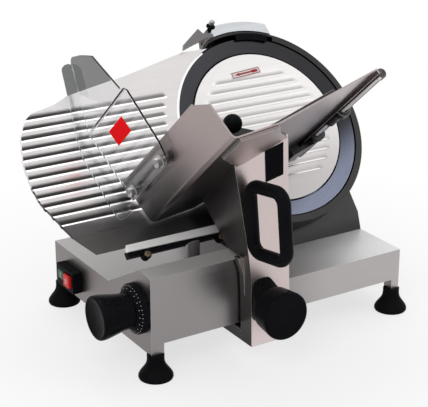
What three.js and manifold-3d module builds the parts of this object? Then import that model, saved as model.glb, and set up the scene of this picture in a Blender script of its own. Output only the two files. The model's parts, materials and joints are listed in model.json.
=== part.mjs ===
import * as THREE from 'three';
import { mergeVertices } from 'three/addons/utils/BufferGeometryUtils.js';
import Module from 'manifold-3d';

const wasm = await Module();
wasm.setup();

// Gravity-feed meat slicer with a 275 mm blade. Millimetres, +Z up.
// +X runs to the right along the carriage's travel, and +Y away from the user.
// Sizes are taken from the corner where the front and left faces of the base meet its lower rim.

// Fits that every piece shares
const fit = { gap: 0.3, overrun: 6 };

// The food-side grooves of the blade cover and the gauge plate fall gently and rise steeply below
const groove = { depth: 1.1, above: 9.5, below: 2.5 };

// The cutting plane leans back from upright, and the tray is turned in it so that food slides to the left
const leanDegrees = 40.8;
const trayTurnDegrees = 16;

const base = {
  length: 405, depth: 279, wall: 3, roof: 4,
  frontHeight: 107, ridgeSetback: 27.6, ridgeHeight: 111, slopeFoot: 115, backHeight: 62.5,
  raisedLength: 195, lowHeight: 58.7,
  archLift: 14, leftLeg: 19, rightLeg: 13, pillarDepth: 16, pillarHeight: 24,
  deckHole: { left: 214, right: 391, front: 108, back: 262 },
};
const foot = {
  inset: 8.7, setback: 4.7, height: 34, radius: 23, rim: 6, chamfer: 2, neckRadius: 11.5, neckLength: 13,
  studRadius: 3, studLength: 10,
};
const bottomPlate = { front: 62, lift: 8, thickness: 1.5 };
const gland = {
  across: 60, lift: 34, radius: 9, nutRadius: 11, nutLength: 5, length: 14, bore: 4.5, insideLength: 8,
};

const rail = { setback: 34, lift: 20, radius: 9, bossRadius: 13, bossLength: 9 };
const slider = { length: 90, front: 20, back: 48, low: 6, high: 32.5, left: 118 };

const blade = {
  right: 281, setback: 151.7, lift: 223.3, radius: 137.5, edge: 0.8, rimRadius: 116.2, rimDepth: 3.2,
  rimBack: 7.5,
  dishRadius: 114.6, dishDepth: 12.5, wallBack: 118.5, backRadius: 117.5, backDepth: 16.7, bore: 20,
  screwCircle: 29, screwRadius: 3, screwHeadRadius: 5, screwHead: 2.6, screwReach: 3.5, screws: 3,
};
const shaft = {
  radius: 12.5, bore: 5.5, end: 83, flangeRadius: 38, flangeFront: 17, flangeBack: 22.5,
  pilotRadius: 19.7, pilotFront: 12.8,
};
const bearing = { radius: 26, front: 29, back: 44 };
const cover = {
  radius: 113.8, front: 2.5, thickness: 2.5, grooves: 12, groovePitch: 13.75, grooveArcRadius: 97,
  grooveCentreLift: -1.1, bossRadius: 14, bossDepth: 11.5, rodDepth: 6,
};
const tieRod = {
  radius: 4.5, end: 187, knobFront: 176, knobBack: 196, knobRadius: 15, knobRim: 3, bossRadius: 12,
  bossFront: 150,
};
const pulley = { seat: 42, flange: 45, flangeWidth: 2, front: 64, back: 82 };
const motor = {
  drop: 75, radius: 42, front: 88, back: 178, pulleySeat: 13.5, pulleyFlange: 16.5, shaftRadius: 6,
  shaftEnd: 95, chamfer: 5,
};
const belt = { thickness: 3.4, sideGap: 1.2 };

const tower = {
  left: 200, wall: 3, front: 90.5, kneeHeight: 84, slopeOffset: 51, top: 60, capOffset: 110, back: 274,
  neckRadius: 52, neckFront: 26.3, pocketBack: 44.3, shaftHole: 15,
  shelfFront: 84.2, shelfBack: 87.7, shelfTop: -33, shelfBottom: -125, shelfHole: 20,
};
const ring = {
  outer: 149, inner: 139.5, stoneInner: 145.5, front: 1.5, back: 26, web: 3, webInner: 26, webHole: 30,
  startDegrees: -112, stoneDegrees: 65, lapDegrees: 1, endDegrees: 108,
};

const hood = {
  inner: 150.3, outer: 165, startDegrees: 66.5, endDegrees: 107, bevelDegrees: 3.1, front: 2, back: 30,
  wall: 2.5,
};
const sharpenerKnob = {
  across: -37, up: 156, tiltDegrees: 23, shaftRadius: 3, shaftBack: 24, collarStart: 6.6, collarRadius: 6.5,
  collarLength: 6.4, capRadius: 4.2, capLength: 6.6, capRound: 1.2, travel: 2.5,
};
const stone = { radius: 6, thickness: 6, start: 15, room: 0.8 };
const stoneHolder = { inner: 134.5, outer: 145, startDegrees: 69, endDegrees: 90, back: 1.6, front: 4.4 };
const wing = {
  points: [[-93, 131], [-89, 139.5], [-56, 161.5], [-50.5, 153], [-36, 150.5], [-35, 144.8], [-49.5, 144.5]],
  back: 2.3, thickness: 3,
};

const gaugePlate = {
  front: 1.2, thickness: 5, arcRadius: 140.5, right: -90, top: 131.5,
  outline: [
    [-194, 109], [-284, 94], [-307, 84.5], [-341, 78], [-352.5, 70], [-365, 48.5], [-370, 30], [-374, 11],
    [-374, -22], [-369, -47], [-343, -98], [-318, -127],
  ],
  bottom: -127, arcSteps: 14,
  grooveStart: -79.6, groovePitch: 13.6, grooves: 12, grooveArcRadius: 156,
  lip: [[-277.5, -125], [-277.5, -132], [-131.5, -136.4], [-131.5, -125]], lipFront: 1,
};
const gaugeBar = {
  outline: [[-277.5, -132.4], [-277.5, -141.5], [-124, -141.5], [-124, -137], [-131.5, -136.8]],
  front: 2, back: 12, low: -141.5,
};
const gaugePost = { across: 100, setback: 64.3, radius: 10.5, play: 0.5 };
const gaugeBolt = {
  places: [-251, -137.5], up: -142.7, radius: 4.5, lobe: 6.1, head: 3, shank: 2.5, reach: 8,
};
const gaugeSlide = {
  left: 66, right: 134, front: 53.5, back: 86, low: 37, high: 62, rodRadius: 8, rodLift: 48,
  noseLeft: 68, noseRight: 74, noseHalfHeight: 3, noseGap: 1,
};
const guideBoss = {
  left: 84, right: 116, front: 44.5, thickness: 5, low: 36.5, rearRadius: 14, rearLength: 8,
};
const thickness = {
  setback: 34, lift: 55.5, travel: 15.9, turnDegrees: 300, camStart: 4.6, camLeft: 66, camRight: 76,
  camSteps: 20, camBackDegrees: -35, shaftRadius: 4, shaftEnd: 80, bossRadius: 9, bossLength: 20,
  dialRadius: 34, dialFront: 15, dialFlare: 31, gripRadius: 29.5, gripEnd: 62, gripRound: 3, shaftGrip: 40,
};

const tray = {
  across: -233, up: -105, proud: 5, length: 260, sheet: 2, wallHeight: 66, bend: 7, bendSteps: 3,
  firstRun: 66.8, firstDrop: -10.9, width: 238, widthDrop: -13, hem: 5,
  wallCutHeight: 48.9, wallCutRun: 28, wallCutTop: 62.8,
};
const arm = {
  front: -30, back: -4, foot: -10, footHigh: 5.7,
  leftOutline: [[134, -10], [132.5, 89], [128, 123], [116, 191], [105, 251], [96, 300]],
  rightOutline: [[182, 300], [186, 268], [193, 54], [193, -10]],
  flare: [[134, 40], [131, 88], [124.4, 107], [123, 113.5], [140, 113.5], [140, 40]],
  flareFront: -14,
  rear: [[-4, 113.5], [24, 116], [41, 136], [50, 145], [78, 176], [98, 186], [110, 240]],
  shoeLeft: 134, shoeRight: 193, reach: 600,
  topPad: [[10, 205], [9, 258], [66, 258], [88, 224], [137, 165], [57, 151]], padThickness: 4,
};
// The grip's bar runs round a loop that rises away from the arm by a share of its distance out
const grip = {
  radius: 8.6, across: 130.2, low: 130.5, reach: 68, height: 93, corner: 16, riseShare: 0.12,
  rollDegrees: -5, yawDegrees: 4,
};
const namePlate = {
  outline: [[152.7, 217.7], [179.1, 223.5], [178.1, 266.8], [150.6, 259.6]], thickness: 0.6,
};
const lockHub = { left: 134, right: 166, low: 25, high: 87, length: 20.6, radius: 24, squareShare: 0.5 };
const lockKnob = {
  across: 152, lift: 51.6, backRadius: 29.5, radius: 32.8, length: 32.5, round: 3, studRadius: 5,
  studReach: 10,
};

// The pusher's places to the left are counted from its rod, which stands beside the tray
const pusherRod = { besideTray: 24, belowTray: 3, radius: 6, start: 8, end: 230 };
const socket = {
  radius: 11, start: 3, end: 63, mouthRadius: 12.5, mouth: 5,
  lugReach: 22, lugStart: 12, lugEnd: 50, lugRoom: 2, lugWeb: 6,
};
const rodCap = { radius: 7, length: 9, round: 2, spigotRadius: 3, spigot: 8 };
const sleeve = { radius: 8.4, start: 98, end: 138 };
const pusherArm = {
  hubRadius: 12, start: 127, end: 137, barLow: 3, barHigh: 13,
  turnHalfWidth: 6, knobReach: 174.4, knobLift: 35.7, kneeBelow: 20.4, kneeAbove: 40.4,
};
const pusherPlate = {
  outline: [[202, -5], [184, 30], [166, 30], [120, 13], [82, 7], [26, 2], [26, -7]], thickness: 3,
  teeth: 9, teethFar: 190, teethNear: 34, toothLength: 5, toothRoot: 1, toothRadius: 3, toothLift: 1,
  toothSides: 6,
};
const ball = { radius: 12.4, neck: 5, neckLength: 4, steps: 9 };

const guard = {
  offset: 6, sheet: 3, start: 5, low: 36, crease: 141, creaseDegrees: 22, reach: 139,
  lowerEdge: [[36, 130], [64, 139], [137, 146]],
  upperEdge: [[103.5, 0], [110.5, 9], [99, 38.5], [80, 72], [6, 126], [0, 139]],
  flange: [
    [-20, 23], [-41, 23], [-42, 43], [-39, 70], [-35, 116], [-26, 145], [-17, 164.5], [0, 203], [14, 236],
    [22, 241.5], [31, 240], [34, 236], [-5, 143.5], [-8, 36], [-19, 33],
  ],
};
const guardScrew = { lift: 45, places: [24, 118], headRadius: 6.5, headLength: 8, shankRadius: 3 };

// The switch box and its buttons are placed from the back of the base
const switches = { toFront: 83, toBack: 32, low: 13, high: 44, proud: 14, wall: 2, hole: 1 };
const button = {
  start: { toFront: 54.5, toBack: 38.5, low: 24, high: 37, proud: 1.5 },
  stop: { toFront: 77, toBack: 60, low: 20, high: 38, proud: 4 },
  travel: 3, reach: 14, play: 0.5,
};

// Directions and frames
const alongX = new THREE.Vector3(1, 0, 0);
const alongY = new THREE.Vector3(0, 1, 0);
const alongZ = new THREE.Vector3(0, 0, 1);
const radians = THREE.MathUtils.degToRad;
const circleSides = 28;
const smallSides = 12;
const footSides = 18;
const rimSides = 64;
const ringSteps = 36;
const arcSteps = 6;

const slicer = new THREE.Group();
const machine = new THREE.Group();
slicer.add(machine);

// In the cutting plane's frame x runs right, y up the plane and z out of it, towards the tray
const cutting = new THREE.Group();
cutting.position.set(blade.right, blade.setback, blade.lift);
cutting.rotation.x = radians(90 - leanDegrees);
machine.add(cutting);

// In the tray's frame x runs along the floor, y up the wall and z out from the blade
const trayFrame = new THREE.Group();
trayFrame.position.set(tray.across, tray.up, tray.proud);
trayFrame.rotation.z = radians(trayTurnDegrees);
cutting.add(trayFrame);

// In the sharpener's frame z runs out along the button's axis
const sharpenerFrame = new THREE.Group();
sharpenerFrame.position.set(sharpenerKnob.across, sharpenerKnob.up, 0);
sharpenerFrame.rotation.x = -radians(sharpenerKnob.tiltDegrees);
cutting.add(sharpenerFrame);
slicer.updateMatrixWorld(true);

// Geometry helpers

function facingOut(geometry) {
  const places = geometry.attributes.position;
  const order = geometry.index.array;
  const corners = [new THREE.Vector3(), new THREE.Vector3(), new THREE.Vector3()];
  let volume = 0;
  for (let first = 0; first < order.length; first += 3) {
    corners.forEach((corner, step) => corner.fromBufferAttribute(places, order[first + step]));
    volume += corners[0].dot(corners[1].clone().cross(corners[2]));
  }
  if (volume > 0) {
    return geometry;
  }
  for (let first = 0; first < order.length; first += 3) {
    [order[first + 1], order[first + 2]] = [order[first + 2], order[first + 1]];
  }
  return geometry;
}

function welded(geometry) {
  geometry.deleteAttribute('normal');
  geometry.deleteAttribute('uv');
  return facingOut(mergeVertices(geometry));
}

function solid(geometry) {
  const closed = welded(geometry.clone());
  const mesh = new wasm.Mesh({
    numProp: 3,
    vertProperties: new Float32Array(closed.attributes.position.array),
    triVerts: new Uint32Array(closed.index.array),
  });
  return new wasm.Manifold(mesh);
}

function surface(body) {
  const mesh = body.getMesh();
  const geometry = new THREE.BufferGeometry();
  geometry.setAttribute('position', new THREE.BufferAttribute(mesh.vertProperties, 3));
  geometry.setIndex(new THREE.BufferAttribute(mesh.triVerts, 1));
  return geometry;
}

function joined(bodies) {
  return bodies.reduce((whole, body) => whole.add(body));
}

function without(body, cuts) {
  return cuts.reduce((rest, cut) => rest.subtract(solid(cut)), body);
}

function moved(geometry, frame) {
  return geometry.applyMatrix4(frame.matrixWorld);
}

function block(lowCorner, highCorner) {
  const low = new THREE.Vector3(...lowCorner);
  const high = new THREE.Vector3(...highCorner);
  const size = high.clone().sub(low);
  const middle = high.add(low).multiplyScalar(0.5);
  return new THREE.BoxGeometry(size.x, size.y, size.z).translate(middle.x, middle.y, middle.z);
}

// A cylinder between two points
function bar(radius, from, to, sides = circleSides) {
  const start = new THREE.Vector3(...from);
  const run = new THREE.Vector3(...to).sub(start);
  const geometry = new THREE.CylinderGeometry(radius, radius, run.length(), sides);
  geometry.translate(0, run.length() / 2, 0);
  geometry.applyQuaternion(new THREE.Quaternion().setFromUnitVectors(alongY, run.clone().normalize()));
  return geometry.translate(start.x, start.y, start.z);
}

// A profile of [radius, height] points turned about Z
function turned(profile, sides = circleSides) {
  const points = profile.map(([radius, height]) => new THREE.Vector2(radius, height));
  return new THREE.LatheGeometry(points, sides).rotateX(Math.PI / 2);
}

// A skin over rings that all have the same number of points, either capped at both ends or closed in a loop
function skinned(rings, isLoop) {
  const count = rings[0].length;
  const last = rings.length - 1;
  const faces = [];
  for (let ring = 0; ring < (isLoop ? rings.length : last); ring += 1) {
    const next = (ring + 1) % rings.length;
    for (let step = 0; step < count; step += 1) {
      const beyond = (step + 1) % count;
      const near = ring * count;
      const far = next * count;
      faces.push(near + step, near + beyond, far + beyond, near + step, far + beyond, far + step);
    }
  }
  for (let step = 1; !isLoop && step < count - 1; step += 1) {
    faces.push(0, step + 1, step);
    faces.push(last * count, last * count + step, last * count + step + 1);
  }
  const geometry = new THREE.BufferGeometry().setFromPoints(rings.flat());
  geometry.setIndex(faces);
  return geometry;
}

function outlineShape(points) {
  return new THREE.Shape(points.map(([across, up]) => new THREE.Vector2(across, up)));
}

function plate(shape, low, high, curveSegments = arcSteps) {
  const settings = { depth: high - low, bevelEnabled: false, curveSegments };
  return new THREE.ExtrudeGeometry(shape, settings).translate(0, 0, low);
}

// An outline of [y, z] points carried from one x to another
function plateAcrossX(points, left, right) {
  const turn = new THREE.Matrix4().makeBasis(alongY, alongZ, alongX);
  return plate(outlineShape(points), left, right).applyMatrix4(turn);
}

// An outline of [x, z] points carried from one y to another
function plateAcrossY(points, front, back) {
  const turn = new THREE.Matrix4().makeBasis(alongX, alongZ, alongY.clone().negate());
  return plate(outlineShape(points), -back, -front).applyMatrix4(turn);
}

// A band between two radii and two angles, carried along Z
function band(inner, outer, startDegrees, endDegrees, low, high, curveSegments) {
  const shape = new THREE.Shape();
  shape.absarc(0, 0, outer, radians(startDegrees), radians(endDegrees), false);
  shape.absarc(0, 0, inner, radians(endDegrees), radians(startDegrees), true);
  return plate(shape, low, high, curveSegments);
}

function onArc(radius, degrees) {
  return [radius * Math.cos(radians(degrees)), radius * Math.sin(radians(degrees))];
}

// The point in the machine's frame, in the plane through the blade's axis and upright,
// that lies up the cutting plane and behind it
function behindBlade(up, behind) {
  const lean = radians(leanDegrees);
  const setback = blade.setback + up * Math.sin(lean) + behind * Math.cos(lean);
  const lift = blade.lift + up * Math.cos(lean) - behind * Math.sin(lean);
  return [setback, lift];
}

function finish(color, roughness, metalness) {
  return new THREE.MeshStandardMaterial({ color, roughness, metalness });
}

const looks = {
  brushed: () => finish(0xb9b6b2, 0.42, 0.9),
  cast: () => finish(0xa7a4a1, 0.5, 0.85),
  bright: () => finish(0xe4e2e0, 0.3, 0.85),
  chrome: () => finish(0xd9dadc, 0.12, 1),
  darkSteel: () => finish(0x55565a, 0.35, 0.9),
  blackPlastic: () => finish(0x17171a, 0.45, 0),
  rubber: () => finish(0x151516, 0.8, 0),
  clear: () => finish(0xe9eef2, 0.08, 0),
  stone: () => finish(0x8e6a58, 0.95, 0),
  brass: () => finish(0xb08a4a, 0.35, 0.9),
  motor: () => finish(0x3b4046, 0.6, 0.4),
  green: () => finish(0x1f6b43, 0.4, 0),
  red: () => finish(0xc2241f, 0.35, 0),
};

function piece(name, geometry, look, frame = machine) {
  const mesh = new THREE.Mesh(welded(geometry), look());
  mesh.name = name;
  mesh.geometry.computeVertexNormals();
  frame.add(mesh);
  return mesh;
}

// Base

const over = fit.overrun;
const raisedProfile = [
  [0, 0], [base.depth, 0], [base.depth, base.backHeight], [base.slopeFoot, base.backHeight],
  [base.ridgeSetback, base.ridgeHeight], [0, base.frontHeight],
];
const raisedHollow = [
  [base.wall, -over], [base.depth - base.wall, -over], [base.depth - base.wall, base.backHeight - base.roof],
  [base.slopeFoot, base.backHeight - base.roof], [base.ridgeSetback, base.ridgeHeight - base.roof],
  [base.wall, base.frontHeight - base.roof],
];

function gaugeSlot() {
  const reach = gaugePost.radius + gaugePost.play + fit.gap;
  const shape = new THREE.Shape();
  const backEnd = gaugePost.setback + thickness.travel;
  shape.absarc(gaugePost.across, gaugePost.setback, reach, Math.PI, 2 * Math.PI, false);
  shape.absarc(gaugePost.across, backEnd, reach, 0, Math.PI, false);
  return plate(shape, base.backHeight - base.roof, base.ridgeHeight + over);
}

const fromRear = (distance) => base.depth - distance;

function switchHole() {
  const rim = switches.wall + switches.hole;
  return block(
    [-over, fromRear(switches.toFront) + rim, switches.low + rim],
    [base.wall + over, fromRear(switches.toBack) - rim, switches.high - rim],
  );
}

function baseHousing() {
  const outer = solid(plateAcrossX(raisedProfile, 0, base.raisedLength))
    .add(solid(block([0, 0, 0], [base.length, base.depth, base.lowHeight])));
  const hollow = solid(plateAcrossX(raisedHollow, base.wall, base.raisedLength - base.wall))
    .add(solid(block(
      [base.wall, base.wall, -over],
      [base.length - base.wall, base.depth - base.wall, base.lowHeight - base.roof],
    )));
  const hole = base.deckHole;
  const cuts = [
    block([base.leftLeg, -over, -over], [base.length - base.rightLeg, base.depth + over, base.archLift]),
    block(
      [hole.left, hole.front, base.lowHeight - base.roof - over],
      [hole.right, hole.back, base.lowHeight + over],
    ),
    switchHole(),
    gaugeSlot(),
  ];
  const shell = without(outer.subtract(hollow), cuts);

  const pillars = [];
  [[0, base.leftLeg], [base.length - base.rightLeg, base.length]].forEach(([left, right]) => {
    [[0, base.pillarDepth], [base.depth - base.pillarDepth, base.depth]].forEach(([front, back]) => {
      pillars.push(solid(block([left, front, 0], [right, back, base.pillarHeight])));
    });
  });
  const far = base.length - base.wall;
  const rearFace = base.depth - base.wall;
  const bossRoot = base.wall / 2;
  const railAt = (across) => [across, rail.setback, rail.lift];
  const bosses = [
    bar(rail.bossRadius, railAt(bossRoot), railAt(base.wall + rail.bossLength)),
    bar(rail.bossRadius, railAt(far - rail.bossLength), railAt(far + bossRoot)),
    bar(
      guideBoss.rearRadius, [gaugePost.across, rearFace - guideBoss.rearLength, gaugeSlide.rodLift],
      [gaugePost.across, rearFace + bossRoot, gaugeSlide.rodLift],
    ),
    bar(
      thickness.bossRadius, [bossRoot, thickness.setback, thickness.lift],
      [thickness.bossLength, thickness.setback, thickness.lift], smallSides,
    ),
  ].map(solid);
  const hanger = solid(block(
    [guideBoss.left, guideBoss.front, guideBoss.low],
    [guideBoss.right, guideBoss.front + guideBoss.thickness, base.ridgeHeight],
  )).intersect(outer);
  const bores = [
    bar(rail.radius + fit.gap, railAt(base.wall), railAt(far)),
    bar(
      gaugeSlide.rodRadius + fit.gap, [gaugePost.across, guideBoss.front - over, gaugeSlide.rodLift],
      [gaugePost.across, rearFace, gaugeSlide.rodLift],
    ),
    bar(
      thickness.shaftRadius + fit.gap, [-over, thickness.setback, thickness.lift],
      [thickness.bossLength + over, thickness.setback, thickness.lift], smallSides,
    ),
    bar(
      gland.radius + fit.gap, [gland.across, rearFace - over, gland.lift],
      [gland.across, base.depth + over, gland.lift], smallSides,
    ),
  ];
  footPlaces().forEach(({ across, setback }) => {
    bores.push(bar(
      foot.studRadius + fit.gap, [across, setback, -over], [across, setback, foot.studLength + fit.gap],
      smallSides,
    ));
  });
  return surface(without(joined([shell, ...pillars, ...bosses, hanger]), bores));
}

function footPlaces() {
  const sides = { left: foot.inset, right: base.length - foot.inset };
  const ends = { front: foot.setback, back: base.depth - foot.setback };
  return Object.entries(ends).flatMap(([end, setback]) => (
    Object.entries(sides).map(([side, across]) => ({ name: `foot_${end}_${side}`, across, setback }))
  ));
}

function footGeometry() {
  const top = -fit.gap;
  return turned([
    [0, -foot.height], [foot.radius - foot.chamfer, -foot.height], [foot.radius, -foot.height + foot.chamfer],
    [foot.radius, -foot.height + foot.rim], [foot.neckRadius + foot.chamfer, -foot.neckLength],
    [foot.neckRadius, -foot.neckLength + foot.chamfer], [foot.neckRadius, top], [foot.studRadius, top],
    [foot.studRadius, foot.studLength], [0, foot.studLength],
  ], footSides);
}

piece('base_housing', baseHousing(), looks.brushed);
piece('bottom_plate', block(
  [base.wall + fit.gap, bottomPlate.front, bottomPlate.lift],
  [
    base.length - base.wall - fit.gap, base.depth - base.pillarDepth - fit.gap,
    bottomPlate.lift + bottomPlate.thickness,
  ],
), looks.cast);
footPlaces().forEach(({ name, across, setback }) => {
  piece(name, footGeometry().translate(across, setback, 0), looks.rubber);
});

const glandGeometry = turned([
  [gland.bore, -gland.insideLength], [gland.radius, -gland.insideLength], [gland.radius, base.wall + fit.gap],
  [gland.nutRadius, base.wall + fit.gap], [gland.nutRadius, base.wall + gland.nutLength],
  [gland.radius, base.wall + gland.nutLength], [gland.radius, gland.length], [gland.bore, gland.length],
  [gland.bore, -gland.insideLength],
], smallSides).rotateX(-Math.PI / 2).translate(gland.across, base.depth - base.wall, gland.lift);
piece('cable_gland', glandGeometry, looks.blackPlastic);

piece('carriage_rail', bar(
  rail.radius, [base.wall + fit.gap, rail.setback, rail.lift],
  [base.length - base.wall - fit.gap, rail.setback, rail.lift],
), looks.chrome);

// Switches on the left end

function switchHousing() {
  const inner = switches.wall;
  const front = fromRear(switches.toFront);
  const back = fromRear(switches.toBack);
  const windowOf = (face) => block(
    [-switches.proud - over, fromRear(face.toFront) - button.play, face.low - button.play],
    [0, fromRear(face.toBack) + button.play, face.high + button.play],
  );
  const outside = block([-switches.proud, front, switches.low], [-fit.gap, back, switches.high]);
  const shell = solid(outside)
    .subtract(solid(block(
      [-switches.proud + inner, front + inner, switches.low + inner],
      [over, back - inner, switches.high - inner],
    )));
  return surface(without(shell, [windowOf(button.start), windowOf(button.stop)]));
}

function buttonGeometry(face) {
  const outside = -switches.proud - face.proud;
  return block(
    [outside, fromRear(face.toFront), face.low], [outside + button.reach, fromRear(face.toBack), face.high],
  );
}

piece('switch_housing', switchHousing(), looks.blackPlastic);
piece('start_button', buttonGeometry(button.start), looks.green);
piece('stop_button', buttonGeometry(button.stop), looks.red);

// Tower with the motor and the blade drive

function towerProfile(inset) {
  const slopeBehind = tower.slopeOffset + inset;
  const [topSetback, topLift] = behindBlade(tower.top - inset, slopeBehind);
  const [capSetback, capLift] = behindBlade(tower.top - inset, tower.capOffset);
  const back = tower.back - inset;
  const capReach = (back - capSetback) / (capSetback - topSetback);
  const kneeUp = (tower.kneeHeight - blade.lift + slopeBehind * Math.sin(radians(leanDegrees)))
    / Math.cos(radians(leanDegrees));
  const [kneeSetback, kneeLift] = behindBlade(kneeUp, slopeBehind);
  const floor = inset ? base.lowHeight - over : base.lowHeight + fit.gap;
  return [
    [tower.front + inset, floor], [back, floor], [back, capLift + (capLift - topLift) * capReach],
    [topSetback, topLift], [kneeSetback, kneeLift],
  ];
}

function towerHousing() {
  const outer = solid(plateAcrossX(towerProfile(0), tower.left, base.length));
  const hollow = solid(plateAcrossX(
    towerProfile(tower.wall), tower.left + tower.wall, base.length - tower.wall,
  ));
  const neck = solid(moved(
    bar(tower.neckRadius, [0, 0, -tower.slopeOffset - tower.wall], [0, 0, -tower.neckFront]), cutting,
  ));
  const knobBoss = solid(moved(bar(
    tieRod.bossRadius, [0, 0, -tieRod.knobFront + fit.gap], [0, 0, -tieRod.bossFront], smallSides,
  ), cutting));
  const shelf = solid(moved(block(
    [-base.length, tower.shelfBottom, -tower.shelfBack], [base.length, tower.shelfTop, -tower.shelfFront],
  ), cutting)).intersect(outer);
  const cuts = [
    bar(bearing.radius + fit.gap, [0, 0, -tower.pocketBack], [0, 0, 0]),
    bar(tower.shaftHole, [0, 0, -tower.slopeOffset - tower.wall - over], [0, 0, 0]),
    bar(
      tieRod.radius + fit.gap, [0, 0, -tieRod.knobFront - over], [0, 0, -tieRod.bossFront + over], smallSides,
    ),
    bar(
      tower.shelfHole, [0, -motor.drop, -tower.shelfBack - over],
      [0, -motor.drop, -tower.shelfFront + over],
    ),
  ].map((cut) => moved(cut, cutting));
  return surface(without(joined([outer.subtract(hollow), shelf, neck, knobBoss]), cuts));
}

piece('tower_housing', towerHousing(), looks.cast);

piece('blade_bearing', turned([
  [shaft.radius + fit.gap, -bearing.back], [bearing.radius, -bearing.back], [bearing.radius, -bearing.front],
  [shaft.radius + fit.gap, -bearing.front], [shaft.radius + fit.gap, -bearing.back],
]), looks.darkSteel, cutting);

function screwPlaces() {
  const apart = 2 * Math.PI / blade.screws;
  return Array.from({ length: blade.screws }, (_, index) => [
    blade.screwCircle * Math.sin(index * apart), blade.screwCircle * Math.cos(index * apart),
  ]);
}

function bladeShaft() {
  const body = solid(turned([
    [shaft.bore, -shaft.end], [shaft.radius, -shaft.end], [shaft.radius, -shaft.flangeBack],
    [shaft.flangeRadius, -shaft.flangeBack], [shaft.flangeRadius, -shaft.flangeFront],
    [shaft.pilotRadius, -shaft.flangeFront], [shaft.pilotRadius, -shaft.pilotFront],
    [shaft.bore, -shaft.pilotFront], [shaft.bore, -shaft.end],
  ]));
  const depth = shaft.flangeFront + blade.screwReach + fit.gap;
  return surface(without(body, screwPlaces().map(([across, up]) => (
    bar(blade.screwRadius + fit.gap, [across, up, -depth], [across, up, 0], smallSides)
  ))));
}

function bladeDisc() {
  const disc = solid(turned([
    [blade.bore, -blade.dishDepth], [blade.dishRadius, -blade.dishDepth], [blade.rimRadius, -blade.rimDepth],
    [blade.radius, 0], [blade.radius - fit.gap, -blade.edge], [blade.wallBack, -blade.rimBack],
    [blade.backRadius, -blade.backDepth], [blade.bore, -blade.backDepth], [blade.bore, -blade.dishDepth],
  ], rimSides));
  return surface(without(disc, screwPlaces().map(([across, up]) => (
    bar(blade.screwRadius + fit.gap, [across, up, -blade.backDepth - over], [across, up, over], smallSides)
  ))));
}

function bladeScrew([across, up]) {
  const seat = -blade.dishDepth + fit.gap;
  const tip = -shaft.flangeFront - blade.screwReach;
  return turned([
    [0, tip], [blade.screwRadius, tip], [blade.screwRadius, seat], [blade.screwHeadRadius, seat],
    [blade.screwHeadRadius, seat + blade.screwHead], [0, seat + blade.screwHead],
  ], smallSides).translate(across, up, 0);
}

piece('blade', bladeDisc(), looks.darkSteel, cutting);
piece('blade_shaft', bladeShaft(), looks.darkSteel, cutting);
screwPlaces().forEach((place, index) => {
  piece(`blade_screw_${index + 1}`, bladeScrew(place), looks.chrome, cutting);
});

function grooved(bore, seat, flange) {
  return [
    [bore, -pulley.back], [flange, -pulley.back], [flange, -pulley.back + pulley.flangeWidth],
    [seat, -pulley.back + pulley.flangeWidth], [seat, -pulley.front - pulley.flangeWidth],
    [flange, -pulley.front - pulley.flangeWidth], [flange, -pulley.front], [bore, -pulley.front],
  ];
}

const bladePulleyProfile = grooved(shaft.radius + fit.gap, pulley.seat, pulley.flange);
piece('blade_pulley', turned([...bladePulleyProfile, bladePulleyProfile[0]]), looks.motor, cutting);

const motorPulleyProfile = [
  [0, -motor.shaftEnd], [motor.shaftRadius, -motor.shaftEnd], [motor.shaftRadius, -pulley.back],
  ...grooved(0, motor.pulleySeat, motor.pulleyFlange).slice(1),
];
piece('motor_pulley', turned(motorPulleyProfile).translate(0, -motor.drop, 0), looks.darkSteel, cutting);

piece('motor', turned([
  [0, -motor.back], [motor.radius - motor.chamfer, -motor.back], [motor.radius, -motor.back + motor.chamfer],
  [motor.radius, -motor.front], [motor.shaftRadius + fit.gap, -motor.front],
  [motor.shaftRadius + fit.gap, -motor.shaftEnd - fit.gap], [0, -motor.shaftEnd - fit.gap],
]).translate(0, -motor.drop, 0), looks.motor, cutting);

// The belt runs round both pulleys, with its straight runs tangent to them
function beltLoop(bigRadius, smallRadius, path) {
  const flank = Math.asin((bigRadius - smallRadius) / motor.drop);
  path.absarc(0, 0, bigRadius, -flank, Math.PI + flank, false);
  path.absarc(0, -motor.drop, smallRadius, Math.PI + flank, 2 * Math.PI - flank, false);
  return path;
}

function driveBelt() {
  const big = pulley.seat + fit.gap;
  const small = motor.pulleySeat + fit.gap;
  const shape = beltLoop(big + belt.thickness, small + belt.thickness, new THREE.Shape());
  shape.holes.push(beltLoop(big, small, new THREE.Path()));
  const side = pulley.flangeWidth + belt.sideGap;
  return plate(shape, -pulley.back + side, -pulley.front - side, smallSides);
}

piece('drive_belt', driveBelt(), looks.rubber, cutting);

// Ring guard, blade cover and the rod that holds the cover from behind

// A clearance for the sharpener's shaft and stone along their own axis, with the button pressed or not
function sharpenerBores() {
  const shaftEnd = sharpenerKnob.shaftBack + sharpenerKnob.travel + fit.gap;
  const stoneEnd = stone.start + stone.thickness + sharpenerKnob.travel + stone.room;
  return [
    bar(
      sharpenerKnob.shaftRadius + fit.gap, [0, 0, -shaftEnd], [0, 0, sharpenerKnob.collarStart], smallSides,
    ),
    bar(stone.radius + stone.room, [0, 0, -stoneEnd], [0, 0, -stone.start + stone.room], smallSides),
  ].map((bore) => bore.applyMatrix4(sharpenerFrame.matrix));
}

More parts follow.
